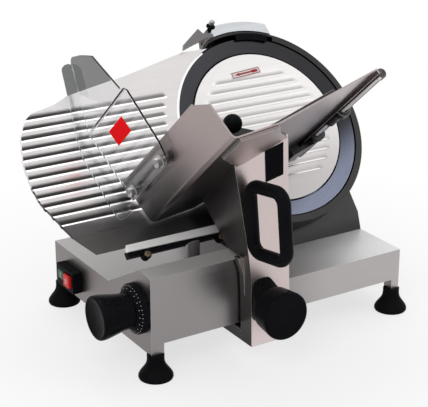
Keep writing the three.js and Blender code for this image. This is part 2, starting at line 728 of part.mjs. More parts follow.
function ringGuard() {
  const { startDegrees, stoneDegrees, endDegrees, lapDegrees } = ring;
  const webFront = -ring.back + ring.web;
  const webOuter = ring.outer - fit.gap;
  const body = joined([
    solid(band(ring.inner, ring.outer, startDegrees, stoneDegrees, -ring.back, ring.front, ringSteps)),
    solid(band(
      ring.stoneInner, ring.outer, stoneDegrees - lapDegrees, endDegrees, -ring.back, ring.front, arcSteps,
    )),
    solid(band(ring.webInner, webOuter, startDegrees, endDegrees, -ring.back, webFront, ringSteps)),
    solid(bar(tower.neckRadius, [0, 0, -ring.back], [0, 0, webFront])),
  ]);
  const hole = bar(ring.webHole, [0, 0, -ring.back - over], [0, 0, 0]);
  return surface(without(body, [hole, ...sharpenerBores()]));
}

piece('ring_guard', ringGuard(), looks.cast, cutting);

// What a groove along X takes from a face
function grooveCut(left, right, up, face) {
  const shape = outlineShape([
    [up - groove.below, face], [up, face - groove.depth], [up + groove.above, face],
    [up + groove.above, face + over], [up - groove.below, face + over],
  ]);
  const turn = new THREE.Matrix4().makeBasis(alongY, alongZ, alongX);
  return plate(shape, left, right).applyMatrix4(turn);
}

function bladeCover() {
  const face = -cover.front;
  const back = face - cover.thickness;
  const disc = solid(turned([[0, back], [cover.radius, back], [cover.radius, face], [0, face]], rimSides));
  const boss = solid(bar(cover.bossRadius, [0, 0, -cover.bossDepth], [0, 0, (face + back) / 2]));
  const cuts = Array.from({ length: cover.grooves }, (_, index) => {
    const up = cover.grooveCentreLift + (index - (cover.grooves - 1) / 2) * cover.groovePitch;
    const half = Math.sqrt(cover.grooveArcRadius ** 2 - up ** 2);
    return grooveCut(-half, half, up, face);
  });
  const bore = bar(
    tieRod.radius + fit.gap, [0, 0, -cover.bossDepth - over], [0, 0, -cover.rodDepth + fit.gap], smallSides,
  );
  return surface(without(disc.add(boss), [bore, ...cuts]));
}

piece('blade_cover', bladeCover(), looks.bright, cutting);
piece('cover_tie_rod', bar(
  tieRod.radius, [0, 0, -tieRod.end], [0, 0, -cover.rodDepth], smallSides,
), looks.chrome, cutting);
const rodBore = tieRod.radius + fit.gap;
piece('tie_rod_knob', turned([
  [rodBore, -tieRod.knobFront], [rodBore, -tieRod.end - fit.gap], [0, -tieRod.end - fit.gap],
  [0, -tieRod.knobBack], [tieRod.knobRadius - tieRod.knobRim, -tieRod.knobBack],
  [tieRod.knobRadius, -tieRod.knobBack + tieRod.knobRim], [tieRod.knobRadius, -tieRod.knobFront],
  [rodBore, -tieRod.knobFront],
]), looks.blackPlastic, cutting);

// Sharpener

function sharpenerHood() {
  const slope = hood.bevelDegrees;
  const shape = new THREE.Shape();
  shape.moveTo(...onArc(hood.inner, hood.startDegrees));
  shape.lineTo(...onArc(hood.outer, hood.startDegrees + slope));
  shape.absarc(0, 0, hood.outer, radians(hood.startDegrees + slope), radians(hood.endDegrees - slope), false);
  shape.lineTo(...onArc(hood.inner, hood.endDegrees));
  shape.absarc(0, 0, hood.inner, radians(hood.endDegrees), radians(hood.startDegrees), true);
  const side = THREE.MathUtils.radToDeg(hood.wall / hood.inner) + slope;
  const hollow = band(
    hood.inner - over, hood.outer - hood.wall, hood.startDegrees + side, hood.endDegrees - side,
    -hood.back + hood.wall, hood.front - hood.wall, arcSteps,
  );
  return surface(without(solid(plate(shape, -hood.back, hood.front)), [hollow, ...sharpenerBores()]));
}

piece('sharpener_hood', sharpenerHood(), looks.bright, cutting);
piece('sharpener_wing', plate(
  outlineShape(wing.points), wing.back, wing.back + wing.thickness,
), looks.chrome, cutting);

piece('stone_holder', band(
  stoneHolder.inner, stoneHolder.outer, stoneHolder.startDegrees, stoneHolder.endDegrees,
  stoneHolder.back, stoneHolder.front, arcSteps,
), looks.blackPlastic, cutting);

const collarStart = sharpenerKnob.collarStart;
const capStart = collarStart + sharpenerKnob.collarLength;
piece('sharpener_knob', turned([
  [0, -sharpenerKnob.shaftBack], [sharpenerKnob.shaftRadius, -sharpenerKnob.shaftBack],
  [sharpenerKnob.shaftRadius, collarStart],
  [sharpenerKnob.collarRadius, collarStart + sharpenerKnob.capRound],
  [sharpenerKnob.collarRadius, capStart], [sharpenerKnob.capRadius, capStart],
  [sharpenerKnob.capRadius, capStart + sharpenerKnob.capLength - sharpenerKnob.capRound],
  [sharpenerKnob.capRadius - sharpenerKnob.capRound, capStart + sharpenerKnob.capLength],
  [0, capStart + sharpenerKnob.capLength],
], smallSides), looks.blackPlastic, sharpenerFrame);
const stoneBore = sharpenerKnob.shaftRadius + fit.gap;
const stoneEnd = stone.start + stone.thickness;
piece('grinding_stone', turned([
  [stoneBore, -stoneEnd], [stone.radius, -stoneEnd], [stone.radius, -stone.start], [stoneBore, -stone.start],
  [stoneBore, -stoneEnd],
], smallSides), looks.stone, sharpenerFrame);

// Gauge plate and what moves it

// The plate's right edge, which follows the blade's rim at a distance
function gaugeArc() {
  const start = Math.PI - Math.asin(gaugePlate.bottom / gaugePlate.arcRadius);
  const end = Math.acos(gaugePlate.right / gaugePlate.arcRadius);
  return Array.from({ length: gaugePlate.arcSteps + 1 }, (_, step) => {
    const turn = start + (end - start) * step / gaugePlate.arcSteps;
    return [gaugePlate.arcRadius * Math.cos(turn), gaugePlate.arcRadius * Math.sin(turn)];
  });
}

function gaugePlateBody() {
  const face = -gaugePlate.front;
  const back = face - gaugePlate.thickness;
  const outline = [[gaugePlate.right, gaugePlate.top], ...gaugePlate.outline, ...gaugeArc()];
  const left = Math.min(...gaugePlate.outline.map(([across]) => across)) - over;
  const cuts = Array.from({ length: gaugePlate.grooves }, (_, index) => {
    const up = gaugePlate.grooveStart + index * gaugePlate.groovePitch;
    const right = -Math.sqrt(gaugePlate.grooveArcRadius ** 2 - up ** 2);
    return grooveCut(left, right, up, face);
  });
  const body = solid(plate(outlineShape(outline), back, face))
    .add(solid(plate(outlineShape(gaugePlate.lip), back, gaugePlate.lipFront)));
  return surface(without(body, cuts));
}

piece('gauge_plate', gaugePlateBody(), looks.bright, cutting);

function boltAlong(radius, up, from, to, across) {
  return bar(radius, [across, up, from], [across, up, to], smallSides);
}

const boltTip = -gaugeBar.front - gaugeBolt.reach;
const bracketBody = joined([
  plate(outlineShape(gaugeBar.outline), -gaugeBar.back, -gaugeBar.front),
  ...gaugeBolt.places.map((across) => (
    boltAlong(gaugeBolt.lobe, gaugeBolt.up, -gaugeBar.back, -gaugeBar.front, across)
  )),
].map(solid));
piece('gauge_bracket', surface(without(bracketBody, gaugeBolt.places.map((across) => (
  boltAlong(gaugeBolt.shank + fit.gap, gaugeBolt.up, boltTip - fit.gap, over, across)
)))), looks.blackPlastic, cutting);
gaugeBolt.places.forEach((across, index) => {
  const seat = -gaugeBar.front + fit.gap;
  const bolt = turned([
    [0, boltTip], [gaugeBolt.shank, boltTip], [gaugeBolt.shank, seat], [gaugeBolt.radius, seat],
    [gaugeBolt.radius, seat + gaugeBolt.head], [0, seat + gaugeBolt.head],
  ], smallSides).translate(across, gaugeBolt.up, 0);
  piece(`gauge_bolt_${index + 1}`, bolt, looks.brass, cutting);
});

function gaugePostBody() {
  const { across, setback } = gaugePost;
  const post = solid(bar(
    gaugePost.radius, [across, setback, gaugeSlide.high + fit.gap], [across, setback, blade.lift],
  ));
  const above = block(
    [-base.length, gaugeBar.low - fit.gap, -base.depth], [base.length, base.depth, base.depth],
  );
  return surface(without(post, [moved(above, cutting)]));
}

piece('gauge_post', gaugePostBody(), looks.darkSteel);

function gaugeSlideBody() {
  const noseTip = thickness.setback + thickness.camStart + gaugeSlide.noseGap;
  const { left, right, front, back, low, high, rodRadius, rodLift } = gaugeSlide;
  const body = solid(block([left, front, low], [right, back, high])).add(solid(block(
    [gaugeSlide.noseLeft, noseTip, thickness.lift - gaugeSlide.noseHalfHeight],
    [gaugeSlide.noseRight, front + over, thickness.lift + gaugeSlide.noseHalfHeight],
  )));
  return surface(without(body, [
    bar(
      rodRadius + fit.gap, [gaugePost.across, front - over, rodLift],
      [gaugePost.across, back + over, rodLift],
    ),
  ]));
}

piece('gauge_slide', gaugeSlideBody(), looks.cast);
piece('gauge_guide_rod', bar(
  gaugeSlide.rodRadius, [gaugePost.across, guideBoss.front, gaugeSlide.rodLift],
  [gaugePost.across, base.depth - base.wall - fit.gap, gaugeSlide.rodLift],
), looks.chrome);

// Thickness knob on the left end. Its cam is a spiral that pushes the slide's nose back.

const knobPlace = [0, thickness.setback, thickness.lift];

function turnedAlongX(profile, sides) {
  return turned(profile, sides).rotateY(Math.PI / 2).translate(...knobPlace);
}

function camGeometry() {
  const points = [];
  for (let step = 0; step <= thickness.camSteps; step += 1) {
    const share = step / thickness.camSteps;
    const reach = thickness.camStart + thickness.travel * share;
    const turn = radians(thickness.turnDegrees * share);
    points.push([thickness.setback + reach * Math.cos(turn), thickness.lift + reach * Math.sin(turn)]);
  }
  const heel = radians(thickness.camBackDegrees);
  points.push([
    thickness.setback + thickness.camStart * Math.cos(heel),
    thickness.lift + thickness.camStart * Math.sin(heel),
  ]);
  const { camLeft, camRight, setback, lift } = thickness;
  return surface(without(solid(plateAcrossX(points, camLeft, camRight)), [
    bar(
      thickness.shaftRadius + fit.gap, [camLeft - over, setback, lift], [camRight + over, setback, lift],
      smallSides,
    ),
  ]));
}

const shaftBore = thickness.shaftRadius + fit.gap;
piece('thickness_dial', turnedAlongX([
  [shaftBore, -fit.gap], [shaftBore, -thickness.dialFront], [thickness.dialFlare, -thickness.dialFront],
  [thickness.dialRadius, -thickness.dialFront + thickness.gripRound], [thickness.dialRadius, -fit.gap],
  [shaftBore, -fit.gap],
]), looks.blackPlastic);
piece('thickness_grip', turnedAlongX([
  [0, -thickness.gripEnd], [thickness.gripRadius - thickness.gripRound, -thickness.gripEnd],
  [thickness.gripRadius, -thickness.gripEnd + thickness.gripRound],
  [thickness.gripRadius, -thickness.dialFront - fit.gap], [shaftBore, -thickness.dialFront - fit.gap],
  [shaftBore, -thickness.shaftGrip - fit.gap], [0, -thickness.shaftGrip - fit.gap],
]), looks.blackPlastic);
piece('thickness_shaft', bar(
  thickness.shaftRadius, [-thickness.shaftGrip, thickness.setback, thickness.lift],
  [thickness.shaftEnd, thickness.setback, thickness.lift], smallSides,
), looks.chrome);
piece('thickness_cam', camGeometry(), looks.darkSteel);

// Tray, bent from one sheet

function trayUnderside() {
  const points = [[0, tray.wallHeight], [0, tray.bend]];
  for (let step = 1; step <= tray.bendSteps; step += 1) {
    const share = step / tray.bendSteps;
    const turn = Math.PI / 2 * share;
    const drop = tray.firstDrop * tray.bend / tray.firstRun * share;
    points.push([tray.bend - tray.bend * Math.cos(turn), tray.bend - tray.bend * Math.sin(turn) + drop]);
  }
  const hemFoot = tray.widthDrop - tray.hem;
  points.push([tray.firstRun, tray.firstDrop], [tray.width, tray.widthDrop], [tray.width, hemFoot]);
  return points;
}

// The same line carried to one side by the sheet's thickness
function beside(points, distance) {
  return points.map((point, index) => {
    const before = points[Math.max(index - 1, 0)];
    const after = points[Math.min(index + 1, points.length - 1)];
    const into = new THREE.Vector2(point[0] - before[0], point[1] - before[1]).normalize();
    const out = new THREE.Vector2(after[0] - point[0], after[1] - point[1]).normalize();
    const normalIn = index ? new THREE.Vector2(-into.y, into.x) : new THREE.Vector2(-out.y, out.x);
    const normalOut = index < points.length - 1 ? new THREE.Vector2(-out.y, out.x) : normalIn;
    const across = normalIn.clone().add(normalOut).normalize();
    const reach = distance / across.dot(normalIn);
    return [point[0] + across.x * reach, point[1] + across.y * reach];
  });
}

function traySheet() {
  const under = trayUnderside();
  const outline = [...under, ...beside(under, tray.sheet).reverse()];
  const sheet = solid(plate(outlineShape(outline), 0, tray.length));
  const cutStart = tray.length - tray.wallCutRun;
  const corner = plateAcrossX([
    [tray.wallCutTop + over, cutStart - over], [tray.wallCutTop, cutStart],
    [tray.wallCutHeight, tray.length], [tray.wallCutHeight, tray.length + over],
    [tray.wallHeight + over, tray.length + over],
  ], -over, tray.sheet + over);
  return surface(without(sheet, [corner, ...guardScrewHoles()]));
}

function guardScrewHoles() {
  const { lift, places, shankRadius } = guardScrew;
  const left = -guard.offset - guard.sheet - over;
  const right = tray.sheet + over;
  return places.map((out) => bar(shankRadius + fit.gap, [left, lift, out], [right, lift, out], smallSides));
}

piece('tray', traySheet(), looks.brushed, trayFrame);

// Carriage arm: an upright casting that stands in front of the base and carries the tray

function underTray(drop) {
  const line = beside(trayUnderside().slice(1, -1), -drop);
  const { reach } = arm;
  const outline = [
    [-reach, line[0][1]], ...line, [reach, line[line.length - 1][1]], [reach, reach], [-reach, reach],
  ];
  return moved(plate(outlineShape(outline), -reach, reach), trayFrame);
}

function carriageArm() {
  const { front, back, foot: sole, rear, reach } = arm;
  const side = [[front, sole], [back, sole], ...rear, [rear[rear.length - 1][0], reach], [front, reach]];
  const upright = solid(plateAcrossY([...arm.leftOutline, ...arm.rightOutline], front, reach))
    .intersect(solid(plateAcrossX(side, 0, reach)));
  const flare = solid(plateAcrossY(arm.flare, arm.flareFront, back));
  const shoe = solid(block([arm.shoeLeft, back - over, sole], [arm.shoeRight, slider.back, arm.footHigh]));
  const body = joined([upright, flare, shoe, solid(moved(padGeometry(), trayFrame))]);
  return surface(without(body, [lockStud(lockKnob.studRadius + fit.gap, fit.gap, over), underTray(fit.gap)]));
}

function padGeometry() {
  const turn = new THREE.Matrix4().makeBasis(alongX, alongZ, alongY.clone().negate());
  const slab = plate(outlineShape(arm.topPad), -tray.wallHeight, tray.wallHeight).applyMatrix4(turn);
  const low = beside(trayUnderside().slice(1, -1), -fit.gap - arm.padThickness);
  const high = beside(trayUnderside().slice(1, -1), over);
  const layer = plate(outlineShape([...low, ...high.reverse()]), -arm.reach, arm.reach);
  return surface(solid(slab).intersect(solid(layer)));
}

// The lock knob's stud in the arm, or its clearance
function lockStud(radius, deeper, outward) {
  const { across, lift, studReach } = lockKnob;
  const tip = arm.front + studReach + deeper;
  return bar(radius, [across, arm.front - outward, lift], [across, tip, lift], smallSides);
}

piece('carriage_arm', carriageArm(), looks.brushed);

const sliderRight = slider.left + slider.length;
piece('carriage_slider', surface(without(
  solid(block([slider.left, slider.front, slider.low], [sliderRight, slider.back, slider.high])),
  [bar(
    rail.radius + fit.gap, [slider.left - over, rail.setback, rail.lift],
    [sliderRight + over, rail.setback, rail.lift],
  )],
)), looks.cast);

// The hub is a rounded upright block at the arm that narrows to a circle at the knob
function lockHubBody() {
  const middle = [(lockHub.left + lockHub.right) / 2, (lockHub.low + lockHub.high) / 2];
  const halves = [(lockHub.right - lockHub.left) / 2, (lockHub.high - lockHub.low) / 2];
  const squared = (value) => Math.sign(value) * Math.abs(value) ** lockHub.squareShare;
  const root = [];
  const tip = [];
  for (let step = 0; step < circleSides; step += 1) {
    const turn = 2 * Math.PI * step / circleSides;
    root.push(new THREE.Vector3(
      middle[0] + halves[0] * squared(Math.cos(turn)), arm.front - fit.gap,
      middle[1] + halves[1] * squared(Math.sin(turn)),
    ));
    tip.push(new THREE.Vector3(
      lockKnob.across + lockHub.radius * Math.cos(turn), arm.front - fit.gap - lockHub.length,
      lockKnob.lift + lockHub.radius * Math.sin(turn),
    ));
  }
  return surface(without(solid(skinned([root, tip], false)), [
    lockStud(lockKnob.studRadius + fit.gap, fit.gap, lockHub.length + over),
  ]));
}

piece('lock_hub', lockHubBody(), looks.blackPlastic);

const knobBack = lockHub.length + fit.gap + fit.gap;
const knobFront = knobBack + lockKnob.length;
piece('lock_knob', turned([
  [0, -lockKnob.studReach], [lockKnob.studRadius, -lockKnob.studReach], [lockKnob.studRadius, knobBack],
  [lockKnob.backRadius, knobBack], [lockKnob.radius, knobFront - lockKnob.round],
  [lockKnob.radius - lockKnob.round, knobFront], [0, knobFront],
]).rotateX(Math.PI / 2).translate(lockKnob.across, arm.front, lockKnob.lift), looks.blackPlastic);

piece('name_plate', plateAcrossY(
  namePlate.outline, arm.front - fit.gap - namePlate.thickness, arm.front - fit.gap,
), looks.blackPlastic);

// Hand grip: a round bar bent into a closed loop that stands out from the arm's face

function roundedRectangle(width, height, radius) {
  const path = new THREE.Path();
  path.moveTo(radius, 0);
  path.lineTo(width - radius, 0);
  path.absarc(width - radius, radius, radius, -Math.PI / 2, 0, false);
  path.lineTo(width, height - radius);
  path.absarc(width - radius, height - radius, radius, 0, Math.PI / 2, false);
  path.lineTo(radius, height);
  path.absarc(radius, height - radius, radius, Math.PI / 2, Math.PI, false);
  path.lineTo(0, radius);
  path.absarc(radius, radius, radius, Math.PI, Math.PI * 3 / 2, false);
  return path;
}

function handGrip() {
  const path = roundedRectangle(grip.reach, grip.height, grip.corner);
  const rings = [];
  for (let step = 0; step < ringSteps; step += 1) {
    const middle = path.getPointAt(step / ringSteps);
    const along = path.getTangentAt(step / ringSteps);
    const centre = new THREE.Vector3(0, -middle.x, middle.y + middle.x * grip.riseShare);
    const aside = new THREE.Vector3(0, -along.y, -along.x);
    rings.push(Array.from({ length: smallSides }, (_, side) => {
      const turn = 2 * Math.PI * side / smallSides;
      return centre.clone()
        .addScaledVector(aside, grip.radius * Math.cos(turn))
        .addScaledVector(alongX, grip.radius * Math.sin(turn));
    }));
  }
  return skinned(rings, true);
}

const gripMesh = piece('hand_grip', handGrip(), looks.blackPlastic);
gripMesh.position.set(grip.across, arm.front - fit.gap - grip.radius, grip.low);
gripMesh.rotation.set(0, radians(grip.rollDegrees), radians(grip.yawDegrees), 'ZYX');

// Food pusher on its rod at the tray's right

const rodAcross = tray.width + pusherRod.besideTray;
const rodDrop = tray.widthDrop - pusherRod.belowTray;
const rodAt = (out) => [rodAcross, rodDrop, out];
const leftOfRod = ([left, up]) => [rodAcross - left, up];
const rodHole = pusherRod.radius + fit.gap;
const spigotHole = rodCap.spigotRadius + fit.gap;
const spigotEnd = pusherRod.end - rodCap.spigot;

function onRod(profile) {
  return turned(profile).translate(rodAcross, rodDrop, 0);
}

piece('pusher_rod', onRod([
  [0, pusherRod.start], [pusherRod.radius, pusherRod.start], [pusherRod.radius, pusherRod.end],
  [spigotHole, pusherRod.end], [spigotHole, spigotEnd - fit.gap], [0, spigotEnd - fit.gap],
]), looks.chrome, trayFrame);

function rodSocket() {
  const lugHigh = tray.widthDrop - tray.hem - socket.lugRoom;
  const lugLow = lugHigh - socket.lugWeb;
  const { lugStart, lugEnd } = socket;
  const lugLeft = tray.width - socket.lugReach;
  const body = joined([
    solid(bar(socket.radius, rodAt(socket.start), rodAt(socket.end))),
    solid(bar(socket.mouthRadius, rodAt(socket.end - socket.mouth), rodAt(socket.end))),
    solid(block([lugLeft, lugLow, lugStart], [tray.width - over, tray.widthDrop - fit.gap, lugEnd])),
    solid(block([lugLeft, lugLow, lugStart], [rodAcross, lugHigh, lugEnd])),
  ]);
  return surface(without(body, [bar(rodHole, rodAt(pusherRod.start - fit.gap), rodAt(socket.end + over))]));
}
piece('rod_socket', rodSocket(), looks.cast, trayFrame);

const capBack = pusherRod.end + fit.gap;
piece('rod_cap', onRod([
  [0, spigotEnd], [rodCap.spigotRadius, spigotEnd], [rodCap.spigotRadius, capBack], [rodCap.radius, capBack],
  [rodCap.radius, capBack + rodCap.length - rodCap.round],
  [rodCap.radius - rodCap.round, capBack + rodCap.length],
  [0, capBack + rodCap.length],
]), looks.chrome, trayFrame);

piece('pusher_sleeve', onRod([
  [rodHole, sleeve.start], [sleeve.radius, sleeve.start], [sleeve.radius, sleeve.end],
  [rodHole, sleeve.end], [rodHole, sleeve.start],
]), looks.darkSteel, trayFrame);

function pusherArmBody() {
  const { start, end, turnHalfWidth, barLow, barHigh, knobReach, knobLift, kneeBelow, kneeAbove } = pusherArm;
  const { neck } = ball;
  const turnRight = rodAcross + turnHalfWidth;
  const knobAcross = rodAcross - knobReach;
  const crank = outlineShape([
    [turnRight, barLow], [turnRight, barHigh], [knobAcross + kneeAbove, barHigh],
    [knobAcross + neck, knobLift + neck], [knobAcross - neck, knobLift + neck],
    [knobAcross - neck, knobLift - neck], [knobAcross + kneeBelow, barLow],
  ]);
  const body = joined([
    solid(bar(pusherArm.hubRadius, rodAt(start), rodAt(end))),
    solid(block([rodAcross - turnHalfWidth, rodDrop, start], [turnRight, barHigh, end])),
    solid(plate(crank, start, end)),
  ]);
  return surface(without(body, [bar(sleeve.radius + fit.gap, rodAt(start - over), rodAt(end + over))]));
}
piece('pusher_arm', pusherArmBody(), looks.cast, trayFrame);

function pusherPlateBody() {
  const { teeth, teethFar, teethNear, toothLength, toothRoot, toothRadius, toothLift } = pusherPlate;
  const back = pusherArm.start - fit.gap;
  const front = back - pusherPlate.thickness;
  let body = solid(plate(outlineShape(pusherPlate.outline.map(leftOfRod)), front, back));
  for (let index = 0; index < teeth; index += 1) {
    const across = rodAcross - teethFar + (teethFar - teethNear) * index / (teeth - 1);
    const tooth = new THREE.ConeGeometry(toothRadius, toothLength + toothRoot, pusherPlate.toothSides)
      .rotateX(-Math.PI / 2)
      .translate(across, -toothLift, front - (toothLength - toothRoot) / 2);
    body = body.add(solid(tooth));
  }
  return surface(body);
}
piece('pusher_plate', pusherPlateBody(), looks.bright, trayFrame);

const knobStart = pusherArm.end + fit.gap;
function ballKnob() {
  const centre = knobStart + ball.neckLength + ball.radius;
  const profile = [[0, knobStart], [ball.neck, knobStart]];
  const start = Math.asin(ball.neck / ball.radius);
  for (let step = 0; step < ball.steps; step += 1) {
    const turn = start + (Math.PI - start) * step / ball.steps;
    profile.push([ball.radius * Math.sin(turn), centre - ball.radius * Math.cos(turn)]);
  }
  profile.push([0, centre + ball.radius]);
  return turned(profile).translate(rodAcross - pusherArm.knobReach, pusherArm.knobLift, 0);
}
piece('pusher_ball', ballKnob(), looks.blackPlastic, trayFrame);

// Clear hand guard outside the tray's wall, bent from one sheet

function clearGuard() {
  const outside = -guard.offset - guard.sheet;
  const half = guard.sheet / 2;
  const side = plateAcrossX([
    [guard.low, guard.start], [guard.crease + half, guard.start],
    [guard.crease + half, guard.start + guard.reach],
    ...guard.lowerEdge.slice().reverse(),
  ], outside, -guard.offset);
  const upper = plateAcrossX([[-half, 0], ...guard.upperEdge, [-half, guard.reach]], -guard.sheet, 0);
  upper.rotateZ(-radians(guard.creaseDegrees)).translate(-guard.offset, guard.crease, guard.start);
  const flange = plate(outlineShape(guard.flange), guard.start, guard.start + guard.sheet);
  return surface(without(joined([solid(side), solid(upper), solid(flange)]), guardScrewHoles()));
}
piece('hand_guard', clearGuard(), looks.clear, trayFrame);

guardScrew.places.forEach((out, index) => {
  const { headRadius, headLength, shankRadius } = guardScrew;
  const seat = guard.offset + guard.sheet + fit.gap;
  const tip = -tray.sheet + fit.gap;
  const screw = turned([
    [0, tip], [shankRadius, tip], [shankRadius, seat], [headRadius, seat], [headRadius, seat + headLength],
    [0, seat + headLength],
  ], smallSides).rotateY(-Math.PI / 2).translate(0, guardScrew.lift, out);
  piece(`guard_screw_${index + 1}`, screw, looks.chrome, trayFrame);
});

// The origin is the middle of the whole machine's box, on the surface it stands on
slicer.updateMatrixWorld(true);
const whole = new THREE.Box3().setFromObject(slicer, true);
const middle = whole.getCenter(new THREE.Vector3());
machine.position.set(-middle.x, -middle.y, -whole.min.z);

export default slicer;
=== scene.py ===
import json
import math

import bpy
from mathutils import Matrix, Vector


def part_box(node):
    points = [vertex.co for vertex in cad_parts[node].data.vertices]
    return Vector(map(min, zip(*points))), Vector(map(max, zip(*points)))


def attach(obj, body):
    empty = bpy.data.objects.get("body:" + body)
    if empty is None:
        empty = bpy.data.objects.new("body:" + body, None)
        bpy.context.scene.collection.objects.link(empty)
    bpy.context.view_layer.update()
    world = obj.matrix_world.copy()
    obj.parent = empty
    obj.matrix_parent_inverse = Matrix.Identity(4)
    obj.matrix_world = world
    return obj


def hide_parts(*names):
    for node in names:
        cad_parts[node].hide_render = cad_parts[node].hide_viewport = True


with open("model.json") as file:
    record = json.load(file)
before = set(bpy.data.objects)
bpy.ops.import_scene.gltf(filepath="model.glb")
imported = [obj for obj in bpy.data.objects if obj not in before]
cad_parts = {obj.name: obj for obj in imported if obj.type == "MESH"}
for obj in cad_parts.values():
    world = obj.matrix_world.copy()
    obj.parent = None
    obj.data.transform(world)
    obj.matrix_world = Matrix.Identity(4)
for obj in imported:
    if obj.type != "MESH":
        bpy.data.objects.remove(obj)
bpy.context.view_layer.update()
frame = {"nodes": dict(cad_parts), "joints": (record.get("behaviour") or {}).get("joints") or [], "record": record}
cadNodes = frame["nodes"]
print("frame loaded with", len(cadNodes), "solids")

mm = 0.001
angle = math.radians

# Places of the machine's own frames. Pieces are modelled in millimetres in one of them.

# Where each frame starts in the frame that holds it, and how far it is turned about which axis
frameValues = {
    "tray": ((-233, -105, 5), 16, "Z"), "rod": ((262, -16, 0), 0, "Z"), "ball": ((87.6, 35.7, 0), 0, "Z"),
    "sharpener": ((-37, 156, 0), -23, "X"), "thickness": ((0, 34, 55.5), 90, "Y"),
    "lock": ((152, -30, 51.6), 90, "X"), "gland": ((60, 276, 34), -90, "X"),
}


def moved(x, y, z):
    return Matrix.Translation((x * mm, y * mm, z * mm))


def turned(degrees, axis="Z"):
    return Matrix.Rotation(angle(degrees), 4, axis)


def placeIn(holder, name):
    start, degrees, axis = frameValues[name]
    return holder @ moved(*start) @ turned(degrees, axis)


bladeSpin = next(joint for joint in frame["joints"] if joint["name"] == "blade_spin")
outOfBlade = Vector(bladeSpin["axis"]).normalized()
alongTravel = Vector((1, 0, 0))
upTheBlade = outOfBlade.cross(alongTravel)
bladeAxes = Matrix((alongTravel, upTheBlade, outOfBlade)).transposed().to_4x4()
cuttingPlace = Matrix.Translation(bladeSpin["pos_m"]) @ bladeAxes
machinePlace = Matrix.Translation(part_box("base_housing")[0])
trayPlace = placeIn(cuttingPlace, "tray")
rodPlace = placeIn(trayPlace, "rod")
sharpenerPlace = placeIn(cuttingPlace, "sharpener")
thicknessPlace = placeIn(machinePlace, "thickness")
lockPlace = placeIn(machinePlace, "lock")

# Camera at the photograph's angle

view = {
    "place": (-0.899487, -1.419438, 0.8228),
    "tilt": 69.04,
    "heading": -31.93,
    "lens": 111.10,
}
camera = bpy.data.objects.new("photoCamera", bpy.data.cameras.new("photoCamera"))
bpy.context.scene.collection.objects.link(camera)
camera.location = view["place"]
camera.rotation_euler = (angle(view["tilt"]), 0, angle(view["heading"]))
camera.data.lens = view["lens"]
bpy.context.scene.camera = camera
print("camera placed")

# Shader node groups


def newGroup(name, inputs, outputs):
    group = bpy.data.node_groups.new(name, "ShaderNodeTree")
    for label, kind, value in inputs:
        socket = group.interface.new_socket(name=label, in_out="INPUT", socket_type=kind)
        if value is not None:
            socket.default_value = value
    for label, kind in outputs:
        group.interface.new_socket(name=label, in_out="OUTPUT", socket_type=kind)
    start = group.nodes.new("NodeGroupInput")
    end = group.nodes.new("NodeGroupOutput")
    return group, start.outputs, end.inputs


def addNode(tree, kind, **settings):
    node = tree.nodes.new(kind)
    for name, value in settings.items():
        setattr(node, name, value)
    return node


def join(tree, source, target):
    tree.links.new(source, target)


# A socket gets a link from another socket, or else a plain value
def feed(tree, value, socket):
    if isinstance(value, bpy.types.NodeSocket):
        join(tree, value, socket)
    else:
        socket.default_value = (*value, 1) if socket.type == "RGBA" else value


def calculated(tree, kind, operation, *sources, **settings):
    node = addNode(tree, kind, operation=operation, **settings)
    for index, source in enumerate(sources):
        join(tree, source, node.inputs[index])
    return node.outputs


def noise(tree, places, **values):
    node = addNode(tree, "ShaderNodeTexNoise")
    join(tree, places, node.inputs["Vector"])
    for label, value in values.items():
        feed(tree, value, node.inputs[label])
    return node.outputs["Fac"]


def spread(tree, source, low, high, toLow=0, toHigh=1, how="LINEAR"):
    node = addNode(tree, "ShaderNodeMapRange", interpolation_type=how)
    for label, value in (("From Min", low), ("From Max", high), ("To Min", toLow), ("To Max", toHigh)):
        feed(tree, value, node.inputs[label])
    join(tree, source, node.inputs["Value"])
    return node.outputs["Result"]


floatKind, vectorKind = "NodeSocketFloat", "NodeSocketVector"
mathKind, vectorMathKind = "ShaderNodeMath", "ShaderNodeVectorMath"
maskAndHeight = [("Mask", floatKind), ("Height", floatKind)]

# Long fine scratches left by a brushing belt: the stretch is small along them
brushing, ins, outs = newGroup(
    "brushing",
    [("Vector", vectorKind, None), ("Stretch", vectorKind, (4, 90, 90)), ("Detail", floatKind, 9)],
    maskAndHeight,
)
scaled = calculated(brushing, vectorMathKind, "MULTIPLY", ins["Vector"], ins["Stretch"])[0]
streaks = noise(brushing, scaled, Scale=1, Roughness=0.72, Detail=ins["Detail"])
join(brushing, spread(brushing, streaks, 0.3, 0.7), outs["Mask"])
join(brushing, streaks, outs["Height"])

# Rings left by turning or grinding about the local Z
turning, ins, outs = newGroup(
    "turning",
    [("Vector", vectorKind, None), ("Rings", floatKind, 900), ("Sweep", floatKind, 3)],
    maskAndHeight,
)
parts = addNode(turning, "ShaderNodeSeparateXYZ")
join(turning, ins["Vector"], parts.inputs[0])
flat = addNode(turning, "ShaderNodeCombineXYZ")
join(turning, parts.outputs["X"], flat.inputs["X"])
join(turning, parts.outputs["Y"], flat.inputs["Y"])
reach = calculated(turning, vectorMathKind, "LENGTH", flat.outputs[0])["Value"]
ringed = calculated(turning, mathKind, "MULTIPLY", reach, ins["Rings"])[0]
direction = calculated(turning, vectorMathKind, "NORMALIZE", flat.outputs[0])[0]
swept = addNode(turning, vectorMathKind, operation="SCALE")
join(turning, direction, swept.inputs[0])
join(turning, ins["Sweep"], swept.inputs["Scale"])
sweptParts = addNode(turning, "ShaderNodeSeparateXYZ")
join(turning, swept.outputs[0], sweptParts.inputs[0])
spiral = addNode(turning, "ShaderNodeCombineXYZ")
join(turning, sweptParts.outputs["X"], spiral.inputs["X"])
join(turning, sweptParts.outputs["Y"], spiral.inputs["Y"])
join(turning, ringed, spiral.inputs["Z"])
